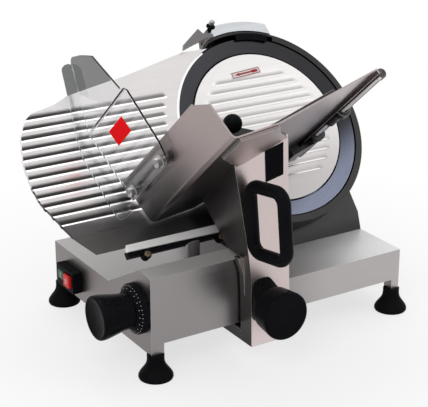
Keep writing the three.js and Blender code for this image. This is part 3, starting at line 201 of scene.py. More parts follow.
rings = noise(turning, spiral.outputs[0], Scale=1, Detail=4)
join(turning, spread(turning, rings, 0.3, 0.7), outs["Mask"])
join(turning, rings, outs["Height"])

# Slow changes over a surface: handling marks, uneven plating, haze
cloudiness, ins, outs = newGroup(
    "cloudiness",
    [("Vector", vectorKind, None), ("Scale", floatKind, 12), ("Low", floatKind, 0), ("High", floatKind, 1)],
    [("Value", floatKind)],
)
clouds = noise(cloudiness, ins["Vector"], Scale=ins["Scale"], Detail=5, Roughness=0.6)
join(cloudiness, spread(cloudiness, clouds, 0.3, 0.7, ins["Low"], ins["High"]), outs["Value"])

# The skin of a casting or a moulding: fine pits
mouldSkin, ins, outs = newGroup(
    "mouldSkin", [("Vector", vectorKind, None), ("Scale", floatKind, 1800)], maskAndHeight,
)
pits = noise(mouldSkin, ins["Vector"], Scale=ins["Scale"], Detail=3)
join(mouldSkin, spread(mouldSkin, pits, 0.35, 0.65), outs["Mask"])
join(mouldSkin, pits, outs["Height"])

# How far a surface faces a direction
facingSide, ins, outs = newGroup(
    "facingSide",
    [("Direction", vectorKind, (0, 0, 1)), ("Low", floatKind, 0.4), ("High", floatKind, 0.9)],
    [("Mask", floatKind)],
)
surface = addNode(facingSide, "ShaderNodeNewGeometry").outputs["Normal"]
towards = calculated(facingSide, vectorMathKind, "DOT_PRODUCT", surface, ins["Direction"])["Value"]
join(facingSide, spread(facingSide, towards, ins["Low"], ins["High"], how="SMOOTHSTEP"), outs["Mask"])

# How far a place lies along a direction: the mask that spreads the painted light and shade of the finishes
paintedLightRamp, ins, outs = newGroup(
    "paintedLightRamp",
    [
        ("Vector", vectorKind, None), ("Direction", vectorKind, (0, 0, 1)), ("Low", floatKind, 0),
        ("High", floatKind, 0.1),
    ],
    [("Mask", floatKind)],
)
along = calculated(paintedLightRamp, vectorMathKind, "DOT_PRODUCT", ins["Vector"], ins["Direction"])["Value"]
join(paintedLightRamp, spread(paintedLightRamp, along, ins["Low"], ins["High"], how="SMOOTHSTEP"), outs["Mask"])

# Dust that settles on what faces up
settledDust, ins, outs = newGroup(
    "settledDust", [("Vector", vectorKind, None), ("Amount", floatKind, 0.1)], [("Mask", floatKind)],
)
facingParts = addNode(settledDust, "ShaderNodeSeparateXYZ")
join(settledDust, addNode(settledDust, "ShaderNodeNewGeometry").outputs["Normal"], facingParts.inputs[0])
specks = noise(settledDust, ins["Vector"], Scale=300, Detail=8)
lying = calculated(
    settledDust, mathKind, "MULTIPLY",
    spread(settledDust, facingParts.outputs["Z"], 0.3, 1), spread(settledDust, specks, 0.45, 0.7),
)[0]
thin = calculated(settledDust, mathKind, "MULTIPLY", lying, ins["Amount"])[0]
join(settledDust, thin, outs["Mask"])
print("node groups ready")

# Finishes


def newFinish(name, **settings):
    finish = bpy.data.materials.new(name)
    finish.use_nodes = True
    tree = finish.node_tree
    shader = tree.nodes["Principled BSDF"]
    for label, value in settings.items():
        shader.inputs[label.replace("_", " ")].default_value = value
    places = addNode(tree, "ShaderNodeTexCoord").outputs["Object"]
    return finish, tree, shader, places


def groupNode(tree, group, places=None, **values):
    node = addNode(tree, "ShaderNodeGroup", node_tree=group)
    if places is not None:
        join(tree, places, node.inputs["Vector"])
    for label, value in values.items():
        node.inputs[label].default_value = value
    return node.outputs


def blended(tree, mask, first, second, how="MIX"):
    node = addNode(tree, "ShaderNodeMix", data_type="RGBA", blend_type=how)
    for label, colour in (("A", first), ("B", second)):
        feed(tree, colour, next(s for s in node.inputs if s.name == label and s.type == "RGBA"))
    feed(tree, mask, node.inputs["Factor"])
    return next(s for s in node.outputs if s.type == "RGBA")


def bumped(tree, shader, height, strength, distance):
    node = addNode(tree, "ShaderNodeBump")
    node.inputs["Strength"].default_value = strength
    node.inputs["Distance"].default_value = distance
    join(tree, height, node.inputs["Height"])
    join(tree, node.outputs["Normal"], shader.inputs["Normal"])


def turnedPlaces(tree, places, place):
    mapping = addNode(tree, "ShaderNodeMapping")
    back = place.inverted()
    mapping.inputs["Rotation"].default_value = back.to_euler()
    mapping.inputs["Location"].default_value = back.translation
    join(tree, places, mapping.inputs["Vector"])
    return mapping.outputs[0]


left, right, front, rear, top = (-1, 0, 0), (1, 0, 0), (0, -1, 0), (0, 1, 0), (0, 0, 1)
upPlate, downPlate = tuple(upTheBlade), tuple(-upTheBlade)


# Painted light and shade: a tone that fades along a direction, from a second tone to "tone", and changes
# with what the surface faces. Each row of "facing" is a direction, where its mask starts and is full, and a
# painted colour. A row may end with a second colour and the direction and places between which the first
# gives way to it.
def shaded(tree, local, values):
    tone = values["tone"]
    if "fade" in values:
        direction, low, high = values["fade"]
        mask = groupNode(tree, paintedLightRamp, local, Direction=direction, Low=low * mm, High=high * mm)["Mask"]
        tone = blended(tree, mask, values["faded"], tone)
    for direction, low, high, colour, *faded in values.get("facing", ()):
        mask = groupNode(tree, facingSide, Direction=direction, Low=low, High=high)["Mask"]
        if faded:
            far, (towards, start, end) = faded
            reach = groupNode(tree, paintedLightRamp, local, Direction=towards, Low=start * mm, High=end * mm)["Mask"]
            colour = blended(tree, reach, colour, far)
        tone = blended(tree, mask, tone, colour)
    return tone


lookingUp = {"Direction": top, "Low": 0.5, "High": 0.9}


def metalFinish(name, values, place=None):
    finish, tree, shader, places = newFinish(name)
    local = turnedPlaces(tree, places, place) if place else places
    if "rings" in values:
        grain = groupNode(tree, turning, local, Rings=values["rings"], Sweep=values["sweep"])
    elif "pits" in values:
        grain = groupNode(tree, mouldSkin, local, Scale=values["pits"])
    else:
        grain = groupNode(tree, brushing, local, Stretch=values["stretch"])
    haze = groupNode(tree, cloudiness, places, Scale=values["hazeScale"], Low=values["hazeLow"])["Value"]
    fine = spread(tree, grain["Mask"], 0, 1, values["grainLow"])
    tone = blended(tree, 1, shaded(tree, local, values), fine, "MULTIPLY")
    join(tree, blended(tree, 1, tone, haze, "MULTIPLY"), shader.inputs["Base Color"])
    join(tree, spread(tree, grain["Mask"], 0, 1, *values["roughness"]), shader.inputs["Roughness"])
    sideways, upwards = values.get("metallic", (1, 1))
    if sideways == upwards:
        shader.inputs["Metallic"].default_value = sideways
    else:
        facingUp = groupNode(tree, facingSide, **lookingUp)["Mask"]
        join(tree, spread(tree, facingUp, 0, 1, sideways, upwards), shader.inputs["Metallic"])
    bumped(tree, shader, grain["Height"], values["bump"], values["depth"] * mm)
    return finish


dustTone = (0.5, 0.48, 0.46)


def plasticFinish(name, values):
    finish, tree, shader, places = newFinish(name, Specular_IOR_Level=values["shine"])
    skin = groupNode(tree, mouldSkin, places, Scale=values["pits"])
    haze = groupNode(tree, cloudiness, places, Scale=values["hazeScale"])["Value"]
    dust = groupNode(tree, settledDust, places, Amount=values["dust"])["Mask"]
    tone = blended(tree, haze, values["dark"], values["tone"])
    join(tree, blended(tree, dust, tone, dustTone), shader.inputs["Base Color"])
    join(tree, spread(tree, haze, 0, 1, *values["roughness"]), shader.inputs["Roughness"])
    bumped(tree, shader, skin["Height"], values["bump"], values["depth"] * mm)
    return finish


# Values of the finishes: grainLow and hazeLow are the darkest shares of the grain and the haze, depth is
# in millimetres, and metallic is for faces that look sideways and for faces that look up
# The base's tones are painted light and shade: lighter towards the right, front faces darker and lighter again to
# the right, side faces darker and rear faces near black
brushedSheet = {
    "tone": (0.9, 0.9, 0.9), "faded": (0.5, 0.485, 0.48), "fade": ((1, -0.25, 0), 40, 260),
    "grainLow": 0.94, "hazeScale": 5, "hazeLow": 0.95, "roughness": (0.3, 0.4), "stretch": (8, 400, 400),
    "bump": 0.03, "depth": 0.02, "metallic": (1, 0.15),
    "facing": [
        (front, 0.5, 0.9, (0.33, 0.31, 0.312), (0.48, 0.45, 0.45), (right, 20, 120)),
        (rear, 0.2, 0.45, (0.03, 0.028, 0.027)), (left, 0.5, 0.9, (0.24, 0.215, 0.215)),
        (right, 0.5, 0.9, (0.22, 0.2, 0.2)),
    ],
}
# The arm's tones are painted light and shade: lighter low down, darker tops and rear, a near black left flank that
# lightens upwards and a darker right side
armFace = {
    "tone": (0.68, 0.585, 0.57), "faded": (0.8, 0.69, 0.68), "fade": (top, 30, 60), "grainLow": 0.88,
    "hazeScale": 6, "hazeLow": 0.93, "roughness": (0.3, 0.4), "pits": 1500, "bump": 0.08, "depth": 0.04,
    "facing": [
        (top, 0.25, 0.6, (0.26, 0.21, 0.205)), (rear, 0.3, 0.8, (0.07, 0.062, 0.06)),
        (left, 0.4, 0.8, (0.02, 0.018, 0.018), (0.14, 0.13, 0.128), (top, 0, 140)),
        (right, 0.4, 0.8, (0.16, 0.14, 0.14)),
    ],
}
# The tray's tones are painted shade: darker lower down, and dark on faces that look up the blade
traySheet = {
    **brushedSheet, "tone": (0.4, 0.335, 0.33), "faded": (0.12, 0.116, 0.116),
    "fade": ((0, 0.25, 1), 20, 240), "stretch": (700, 700, 60), "roughness": (0.26, 0.36), "metallic": (1, 1),
    "facing": [(upPlate, 0.5, 0.85, (0.05, 0.049, 0.05))],
}
castSkin = {
    "tone": (0.05, 0.049, 0.049), "grainLow": 0.85, "hazeScale": 9, "hazeLow": 0.85,
    "roughness": (0.3, 0.42), "pits": 900, "bump": 0.08, "depth": 0.04,
}
# The gauge plate's tones are painted shade and highlight: darker at its bottom, groove faces that tilt down the
# plate darker, most to the left, and faces that tilt up lighter
brightSheet = {
    "tone": (0.74, 0.715, 0.71), "faded": (0.12, 0.117, 0.117), "fade": ((0.12, 1, 0), -128, -92),
    "grainLow": 0.95, "hazeScale": 5, "hazeLow": 0.95, "roughness": (0.26, 0.34), "stretch": (4, 300, 300),
    "bump": 0.03, "depth": 0.02,
    "facing": [
        (downPlate, 0.04, 0.16, (0.05, 0.048, 0.048), (0.2, 0.19, 0.19), (right, -330, -170)),
        (upPlate, 0.05, 0.3, (0.95, 0.93, 0.93)),
    ],
}
# The cover's tones are painted shade and highlight: darker towards the bottom, groove faces that tilt down the
# plate darker and faces that tilt up lighter
coverSheet = {
    **brightSheet, "tone": (0.84, 0.82, 0.815), "faded": (0.4, 0.38, 0.38), "fade": (rear, -110, 90),
    "facing": [(downPlate, 0.02, 0.2, (0.36, 0.34, 0.34)), (upPlate, 0.1, 0.35, (0.95, 0.94, 0.94))],
}
# Left-facing faces of the bright castings get a painted shade
plainBright = {
    **brightSheet, "tone": (0.68, 0.7, 0.725), "faded": (0.68, 0.7, 0.725), "grainLow": 0.8,
    "facing": [(left, 0.5, 0.85, (0.1, 0.1, 0.105))],
}
lipSheet = {
    **brightSheet, "tone": (0.95, 0.94, 0.93), "faded": (0.95, 0.94, 0.93), "metallic": (0.1, 0.1),
    "facing": [],
}
# The blade's bluish, lighter lower right is a painted reflection
groundBlade = {
    "tone": (0.046, 0.046, 0.051), "faded": (0.26, 0.285, 0.38), "fade": ((-0.5, 1, 0), -138, -72),
    "grainLow": 0.85, "hazeScale": 6, "hazeLow": 0.85, "roughness": (0.2, 0.3), "rings": 2400, "sweep": 4,
    "bump": 0.04, "depth": 0.01,
}
# The rod's light strips and bands are painted highlights and reflections, set by the direction a face looks in
polishedRod = {
    "tone": (0.06, 0.056, 0.055), "grainLow": 0.9, "hazeScale": 20, "hazeLow": 0.9, "roughness": (0.06, 0.1),
    "rings": 3000, "sweep": 2, "bump": 0.02, "depth": 0.01, "metallic": (0.3, 0.3),
    "facing": [
        ((-0.57, -0.537, -0.622), 0.93, 0.965, (0.9, 0.86, 0.85)), (left, 0.96, 0.99, (0.4, 0.38, 0.38)),
        (front, 0.93, 0.97, (0.3, 0.28, 0.28)),
    ],
}
# Chrome's light tops and darker fronts are a painted reflection
chromeSkin = {
    **polishedRod, "tone": (0.5, 0.49, 0.49),
    "facing": [(top, 0.3, 0.8, (0.85, 0.85, 0.86)), (front, 0.2, 0.7, (0.2, 0.19, 0.19))],
}
# Keeps the blade's painted ramp, here a painted shade that darkens towards the lower right
machinedSteel = {
    **groundBlade, "tone": (0.09, 0.09, 0.093), "faded": (0.06, 0.06, 0.063), "roughness": (0.25, 0.4),
}
brassSkin = {**chromeSkin, "tone": (0.2, 0.15, 0.09), "roughness": (0.2, 0.3), "facing": []}
# Lighter finishes for rounded edges: a painted highlight along them
edgeSkin = {
    **brushedSheet, "tone": (0.8, 0.77, 0.76), "faded": (0.8, 0.77, 0.76), "metallic": (0.35, 0.35),
    "facing": [],
}
castEdge = {**castSkin, "tone": (0.16, 0.158, 0.155)}
glossBlack = {
    "tone": (0.0075, 0.0078, 0.0095), "dark": (0.005, 0.005, 0.006), "hazeScale": 18, "dust": 0.015,
    "roughness": (0.16, 0.26), "shine": 0.014, "pits": 1500, "bump": 0.04, "depth": 0.02,
}
softRubber = {
    **glossBlack, "tone": (0.008, 0.008, 0.009), "roughness": (0.4, 0.55), "pits": 900, "bump": 0.1,
}
motorPaint = {
    **glossBlack, "tone": (0.045, 0.055, 0.065), "dark": (0.03, 0.037, 0.045), "roughness": (0.3, 0.45),
}
redButton = {
    **glossBlack, "tone": (0.72, 0.02, 0.018), "dark": (0.6, 0.014, 0.012), "roughness": (0.3, 0.4),
    "dust": 0, "shine": 0.25,
}
greenButton = {**redButton, "tone": (0.02, 0.12, 0.06), "dark": (0.012, 0.08, 0.04)}
signRed = {**redButton, "tone": (0.95, 0.008, 0.012), "dark": (0.9, 0.007, 0.01), "shine": 0.02}
arrowRed = {**redButton, "tone": (0.42, 0.016, 0.02), "dark": (0.34, 0.012, 0.015)}
markWhite = {**redButton, "tone": (0.8, 0.8, 0.79), "dark": (0.68, 0.68, 0.67)}
grindstone = {
    **softRubber, "tone": (0.3, 0.17, 0.12), "dark": (0.2, 0.11, 0.08), "roughness": (0.85, 0.95),
    "pits": 400, "bump": 0.6, "depth": 0.2,
}

finishes = {
    "anodised": metalFinish("brushedBase", brushedSheet),
    "arm": metalFinish("speckledArm", armFace),
    "tray": metalFinish("brushedTray", traySheet, trayPlace),
    "cast_aluminium": metalFinish("castGrey", castSkin),
    "bright_aluminium": metalFinish("brightPlate", brightSheet, cuttingPlace),
    "cover": metalFinish("brightCover", coverSheet, cuttingPlace),
    "plain_bright": metalFinish("brightCasting", plainBright),
    "lip": metalFinish("brightLip", lipSheet),
    "blade_steel": metalFinish("groundBlade", groundBlade, cuttingPlace),
    "rod": metalFinish("polishedRod", polishedRod, rodPlace),
    "chrome": metalFinish("chrome", chromeSkin),
    "dark_steel": metalFinish("machinedSteel", machinedSteel, cuttingPlace),
    "brass": metalFinish("brass", brassSkin),
    "edge": metalFinish("brightEdge", edgeSkin),
    "cast_edge": metalFinish("castEdge", castEdge),
    "black_plastic": plasticFinish("glossBlack", glossBlack),
    "rubber": plasticFinish("softRubber", softRubber),
    "motor_paint": plasticFinish("motorPaint", motorPaint),
    "red_plastic": plasticFinish("redButton", redButton),
    "green_plastic": plasticFinish("greenButton", greenButton),
    "sign": plasticFinish("signRed", signRed),
    "arrow": plasticFinish("arrowRed", arrowRed),
    "white": plasticFinish("markWhite", markWhite),
    "abrasive": plasticFinish("grindstone", grindstone),
}
# The finish that a piece's rounded edges take, where it isn't the piece's own: a lighter one, which paints
# a highlight along the edges
edgeFinishes = {
    "anodised": "edge", "arm": "edge", "tray": "edge", "cast_aluminium": "cast_edge",
    "clear_plastic": "clear_edge",
}

clearSheet = {
    "tone": (0.97, 0.98, 0.985), "scratched": (0.93, 0.945, 0.955), "roughness": (0, 0.015), "bending": 1.25,
    "scratches": (30, 260, 9), "hazeScale": 16, "sheetClearness": 1, "edgeClearness": 0.4,
}


def clearFinish(name, clearness):
    finish, tree, shader, places = newFinish(name, Transmission_Weight=clearness, IOR=clearSheet["bending"])
    local = turnedPlaces(tree, places, trayPlace)
    scratches = groupNode(tree, brushing, local, Stretch=clearSheet["scratches"])["Mask"]
    tone = blended(tree, scratches, clearSheet["scratched"], clearSheet["tone"])
    join(tree, tone, shader.inputs["Base Color"])
    haze = groupNode(tree, cloudiness, places, Scale=clearSheet["hazeScale"])["Value"]
    join(tree, spread(tree, haze, 0, 1, *clearSheet["roughness"]), shader.inputs["Roughness"])
    return finish


finishes["clear_plastic"] = clearFinish("clearSheet", clearSheet["sheetClearness"])
# The sheets' rounded edges are less clear, so they show whiter: a painted highlight along them
finishes["clear_edge"] = clearFinish("clearEdge", clearSheet["edgeClearness"])
print("finishes ready:", len(finishes))

# Modelling helpers

# Points closer than this become one, in metres for a solid and else in millimetres, and the faces of a
# solid that lie within so many degrees of each other become one
mergeValues = {"solid": 0.000002, "turned": 0.001, "grid": 0.01, "flat": 0.3}


def clearSelection():
    if bpy.context.object and bpy.context.object.mode != "OBJECT":
        bpy.ops.object.mode_set(mode="OBJECT")
    bpy.ops.object.select_all(action="DESELECT")


def pick(piece):
    clearSelection()
    piece.select_set(True)
    bpy.context.view_layer.objects.active = piece


def settle():
    bpy.ops.object.transform_apply(location=True, rotation=True, scale=True)


def editWhole(piece):
    pick(piece)
    bpy.ops.object.mode_set(mode="EDIT")
    bpy.ops.mesh.select_all(action="SELECT")


def endEdit(turnOutwards=False):
    if turnOutwards:
        bpy.ops.mesh.select_all(action="SELECT")
        bpy.ops.mesh.normals_make_consistent(inside=False)
    bpy.ops.object.mode_set(mode="OBJECT")


def applied(piece, kind, **settings):
    pick(piece)
    modifier = piece.modifiers.new("shaping", kind)
    for name, value in settings.items():
        setattr(modifier, name, value)
    bpy.ops.object.modifier_apply(modifier=modifier.name)
    return piece


# The rounded edges take the piece's second material
def rounded(piece, width, segments=3, sharperThan=30):
    twoSlots(piece)
    return applied(
        piece, "BEVEL", width=width, segments=segments, limit_method="ANGLE", angle_limit=angle(sharperThan),
        material=1,
    )


def twoSlots(piece):
    while len(piece.data.materials) < 2:
        piece.data.materials.append(None)
    return piece.data.materials


def finished(piece, place, body, finishName, standsFor=(), smooth=32):
    pick(piece)
    if place is not None:
        piece.matrix_world = place @ Matrix.Scale(mm, 4)
        settle()
    slots = twoSlots(piece)
    for index in range(len(slots)):
        slots[index] = finishes[edgeFinishes.get(finishName, finishName) if index == 1 else finishName]
    bpy.ops.object.shade_smooth_by_angle(angle=angle(smooth))
    applied(piece, "WEIGHTED_NORMAL", keep_sharp=True)
    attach(piece, body)
    if standsFor:
        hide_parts(*standsFor)
    return piece


# A body of revolution about the local Z, from [radius, height] points
def spun(name, profile, steps, edge=0):
    clearSelection()
    bpy.ops.mesh.primitive_plane_add(size=1)
    piece = bpy.context.object
    piece.name = name
    bpy.ops.object.mode_set(mode="EDIT")
    bpy.ops.mesh.merge(type="CENTER")
    bpy.ops.transform.translate(value=(profile[0][0], 0, profile[0][1]))
    for before, after in zip(profile, profile[1:]):
        step = (after[0] - before[0], 0, after[1] - before[1])
        bpy.ops.mesh.extrude_region_move(TRANSFORM_OT_translate={"value": step})
    bpy.ops.mesh.select_all(action="SELECT")
    bpy.ops.mesh.spin(steps=steps, angle=angle(360), center=(0, 0, 0), axis=(0, 0, 1))
    bpy.ops.mesh.remove_doubles(threshold=mergeValues["turned"])
    bpy.ops.mesh.normals_make_consistent(inside=False)
    endEdit()
    return rounded(piece, edge) if edge else piece


# A block given by two opposite corners, with its edges rounded
def blockPiece(name, low, high, edge=0.4, segments=3):
    clearSelection()
    size = [b - a for a, b in zip(low, high)]
    middle = [(a + b) / 2 for a, b in zip(low, high)]
    bpy.ops.mesh.primitive_cube_add(size=1, location=middle, scale=size)
    piece = bpy.context.object
    piece.name = name
    settle()
    return rounded(piece, edge, segments)


# A plate of even thickness in the local X and Y, from the points of its outline
def plateFrom(name, points, back, front, edge):
    clearSelection()
    bpy.ops.mesh.primitive_circle_add(vertices=len(points), radius=1, fill_type="NGON")
    piece = bpy.context.object
    piece.name = name
    for vertex, point in zip(piece.data.vertices, points):
        vertex.co = (*point, back)
    editWhole(piece)
    bpy.ops.mesh.extrude_region_move(TRANSFORM_OT_translate={"value": (0, 0, front - back)})
    endEdit(True)
    return rounded(piece, edge) if edge else piece


def cutBy(piece, cutter):
    applied(piece, "BOOLEAN", operation="DIFFERENCE", object=cutter, solver="EXACT")
    bpy.data.objects.remove(cutter)
    return piece


cutterValues = {"reach": 10, "edge": 0.05}


# A turned head with a slot across its top. The cut needs a whole body, so it is closed on its axis first.
def slottedHead(node, values):
    head = spun("slotted" + node.title().replace("_", ""), values["profile"], values["steps"], values["edge"])
    editWhole(head)
    bpy.ops.mesh.remove_doubles(threshold=mergeValues["turned"])
    endEdit(True)
    half, reach = values["slot"] / 2, cutterValues["reach"]
    bottom = values["profile"][-1][1] - values["slotDepth"]
    cutter = blockPiece(
        "slotCutter", (-reach, -half, bottom), (reach, half, values["cutterTop"]), cutterValues["edge"], 1,
    )
    return cutBy(head, cutter)


def joinedPiece(pieces):
    clearSelection()
    for piece in pieces:
        piece.select_set(True)
    bpy.context.view_layer.objects.active = pieces[0]
    bpy.ops.object.join()
    return bpy.context.object


# A copy of a solid, merged, with its flat faces made whole and its edges rounded
def refined(name, node, edge):
    clearSelection()
    piece = bpy.data.objects.new(name, cadNodes[node].data.copy())
    bpy.context.scene.collection.objects.link(piece)
    pick(piece)
    bpy.ops.mesh.customdata_custom_splitnormals_clear()
    editWhole(piece)
    bpy.ops.mesh.remove_doubles(threshold=mergeValues["solid"])
    bpy.ops.mesh.dissolve_limited(angle_limit=angle(mergeValues["flat"]))
    endEdit()
    return rounded(piece, edge * mm)


# Pieces that keep the solid's form, with folded, cast or moulded edges: the solid, the width of its
# edges and the finish

keptForms = {
    "housingShell": ("base_housing", 1.6, "anodised"),
    "towerShell": ("tower_housing", 2, "cast_aluminium"),
    "switchBox": ("switch_housing", 0.8, "black_plastic"),
    "guardRing": ("ring_guard", 0.8, "cast_aluminium"),
    "hoodShell": ("sharpener_hood", 1, "plain_bright"),
    "hoodWing": ("sharpener_wing", 0.5, "chrome"),
    "stoneClamp": ("stone_holder", 0.5, "black_plastic"),
    "gaugeBar": ("gauge_bracket", 0.8, "black_plastic"),
    "gaugeColumn": ("gauge_post", 0.6, "chrome"),
    "armCasting": ("carriage_arm", 1.3, "arm"),
    "trayPlate": ("tray", 0.5, "tray"),
    "rodHolder": ("rod_socket", 0.7, "cast_aluminium"),
    "pusherBar": ("pusher_arm", 1, "cast_aluminium"),
    "spikedPlate": ("pusher_plate", 0.4, "plain_bright"),
    "lockCollar": ("lock_hub", 1.5, "black_plastic"),
    "plainPlate": ("name_plate", 0.15, "black_plastic"),
}
bodyOf = {node: body for body, held in frame["record"]["behaviour"]["bodies"].items() for node in held}
slotOf = {row["node"]: row["material_slot"] for row in frame["record"]["subparts"]}
for name, (node, edge, finishName) in keptForms.items():
    finished(refined(name, node, edge), None, bodyOf[node], finishName, [node])
print("kept forms dressed:", len(keptForms))

# Solids that show little keep their own mesh and take a finish
hiddenLooks = {
    "cast_aluminium": ["bottom_plate", "gauge_slide", "carriage_slider"],
    "chrome": [
        "carriage_rail", "blade_screw_1", "blade_screw_2", "blade_screw_3", "cover_tie_rod",
        "gauge_guide_rod", "thickness_shaft",
    ],
    "dark_steel": ["blade_bearing", "blade_shaft", "motor_pulley", "thickness_cam"],
    "motor_paint": ["blade_pulley", "motor"],
    "rubber": ["drive_belt"],
    "abrasive": ["grinding_stone"],
}
for finishName, names in hiddenLooks.items():
    for name in names:
        for holder in cadNodes[name].material_slots:
            holder.material = finishes[finishName]

# Feet: four of one profile

footValues = {
    "steps": 72,
    "profile": [
        (0, -34), (21, -34), (22.3, -33.4), (23, -32), (22.9, -29.5), (21.5, -26.5), (18.6, -22.4),
        (15.6, -18.4), (13.3, -14.6), (12.1, -11), (11.5, -7), (11.5, -0.3), (3, -0.3), (3, 10), (0, 10),
    ],
    "places": {
        "foot_front_left": (8.7, 4.7), "foot_front_right": (396.3, 4.7),
        "foot_back_left": (8.7, 274.3), "foot_back_right": (396.3, 274.3),
    },
}
for name, (across, setback) in footValues["places"].items():
    side = name.replace("foot_", "").title().replace("_", "")
    foot = spun("foot" + side, footValues["profile"], footValues["steps"])
    finished(foot, machinePlace @ moved(across, setback, 0), "base", "rubber", [name])
print("feet done")

# Gauge plate and blade cover: sheets with grooves that fall gently and rise steeply below

# How deep a groove is, how far it reaches above and below its deepest line, the power of its fall, and
# the rows of the sheet about it. A row takes the groove that is nearest to a line "lean" below the row.
grooveValues = {
    "depth": 1.15, "above": 9.5, "below": 2.5, "power": 1.8, "lean": 3, "sharperThan": 60, "smooth": 50,
    "rows": (-2.5, -1.9, -1.2, -0.6, 0, 0.7, 1.6, 2.8, 4.4, 6.4, 9.5),
}


def sunkShare(distance):
    if distance < 0:
        return max(1 + distance / grooveValues["below"], 0)
    return max(1 - distance / grooveValues["above"], 0) ** grooveValues["power"]


# A flat sheet whose rows run along the grooves, each from its left edge to its right one
def groovedSheet(name, values, leftAt, rightAt, grooveEnds):
    middles = [values["grooveStart"] + index * values["groovePitch"] for index in range(values["grooves"])]
    rows = {values["bottom"], values["top"], *values["extraRows"]}
    for middle in middles:
        rows.update(middle + step for step in grooveValues["rows"])
    rows = sorted(row for row in rows if values["bottom"] <= row <= values["top"])
    clearSelection()
    bpy.ops.mesh.primitive_grid_add(x_subdivisions=values["columns"], y_subdivisions=len(rows) - 1, size=2)
    piece = bpy.context.object
    piece.name = name
    for vertex in piece.data.vertices:
        row = rows[round((vertex.co.y + 1) / 2 * (len(rows) - 1))]
        share = 0.5 - 0.5 * math.cos(math.pi * (vertex.co.x + 1) / 2)
        start, end = leftAt(row), rightAt(row)
        across = start + (end - start) * share
        nearest = min(middles, key=lambda middle: abs(row - middle - grooveValues["lean"]))
        low, high = grooveEnds(nearest)
        room = max(min(across - low, high - across) / values["fade"], 0)
        sunk = sunkShare(row - nearest) * math.sin(min(room, 1) * math.pi / 2)
        vertex.co = (across, row, values["face"] - sunk * grooveValues["depth"])
    editWhole(piece)
    bpy.ops.mesh.remove_doubles(threshold=mergeValues["grid"])
    endEdit()
    applied(piece, "SOLIDIFY", thickness=values["thickness"], offset=-1)
    return rounded(piece, values["edge"], sharperThan=grooveValues["sharperThan"])


# Half the chord of a circle at a row
def chordAt(radius, row):
    return math.sqrt(max(radius ** 2 - row ** 2, 1))


# The left edge of the gauge plate, from its top to its bottom
plateOutline = [
    (-90, 131.5), (-194, 109), (-284, 94), (-307, 84.5), (-341, 78), (-352.5, 70), (-365, 48.5), (-370, 30),
    (-374, 11), (-374, -22), (-369, -47), (-343, -98), (-318, -127),
]


def plateLeft(row):
    for (x0, y0), (x1, y1) in zip(plateOutline, plateOutline[1:]):
        if y1 <= row <= y0:
            return x0 + (x1 - x0) * (y0 - row) / (y0 - y1)
    return plateOutline[-1][0]


gaugeValues = {
    "bottom": -127, "top": 131.4, "grooves": 12, "grooveStart": -79.6, "groovePitch": 13.6,
    "grooveRadius": 156, "grooveLeft": -500, "fade": 5, "columns": 90, "face": -1.2, "thickness": 5,
    "edge": 0.7, "radius": 140.5, "leastWidth": 0.4,
    "extraRows": [-120, -110, -100, -92, 116, 122, 127] + [point[1] for point in plateOutline[1:]],
}
gauge = groovedSheet(
    "groovedGauge", gaugeValues, plateLeft,
    lambda row: max(-chordAt(gaugeValues["radius"], row), plateLeft(row) + gaugeValues["leastWidth"]),
    lambda middle: (gaugeValues["grooveLeft"], -chordAt(gaugeValues["grooveRadius"], middle)),
)
finished(
    gauge, cuttingPlace, "gauge", "bright_aluminium", ["gauge_plate"],
    grooveValues["smooth"],
)

lipValues = {
    "points": [(-277.5, -125), (-277.5, -134.6), (-131.5, -136.4), (-131.5, -125)], "back": -6.2, "front": 1,
    "edge": 0.8,
}
lip = plateFrom("gaugeLip", **lipValues)
finished(lip, cuttingPlace, "gauge", "lip")

coverValues = {
    "bottom": -113.7, "top": 113.7, "grooves": 12, "grooveStart": -76.7, "groovePitch": 13.75,
    "grooveRadius": 97, "fade": 9, "columns": 72, "face": -2.5, "thickness": 2.5, "edge": 0.5,
    "radius": 113.8,
    "extraRows": [side * value for side in (-1, 1) for value in (113, 111.5, 109, 105, 100, 94, 88)],
}


def coverHalf(row):
    return chordAt(coverValues["radius"], row)


def coverGroove(row):
    half = chordAt(coverValues["grooveRadius"], row)
    return -half, half


cover = groovedSheet("groovedCover", coverValues, lambda row: -coverHalf(row), coverHalf, coverGroove)
finished(
    cover, cuttingPlace, "base", "cover", ["blade_cover"], grooveValues["smooth"],
)

# The cover's label shows which way the blade turns: a pale sticker, a red frame and a red arrow
labelValues = {
    "across": -2.4, "up": 85.3, "turn": 4, "under": -0.1, "edge": 0.03,
    "layers": [("white", 25.2, 5.3, 0.12), ("arrow", 23.6, 4.3, 0.18), ("white", 22.6, 3.3, 0.24)],
    "arrow": [
        (-20, 0), (-11, 2.3), (-11, 1.2), (10, 1.2), (10, 2.1), (20, 2.1), (20, -2.1), (10, -2.1), (10, -1.2),
        (-11, -1.2), (-11, -2.3),
    ],
    "arrowTop": 0.3,
}
labelPlace = cuttingPlace @ moved(labelValues["across"], labelValues["up"], coverValues["face"])
labelPlace = labelPlace @ turned(labelValues["turn"])
labelUnder = labelValues["under"]
for index, (look, half, tall, height) in enumerate(labelValues["layers"]):
    corners = (-half, -tall, labelUnder), (half, tall, height)
    layer = blockPiece(f"turnLabel{index + 1}", *corners, labelValues["edge"], 1)
    finished(layer, labelPlace, "base", look)
arrow = plateFrom("turnArrow", labelValues["arrow"], labelUnder, labelValues["arrowTop"], 0)
finished(arrow, labelPlace, "base", "arrow")
print("grooved sheets done")

# Blade

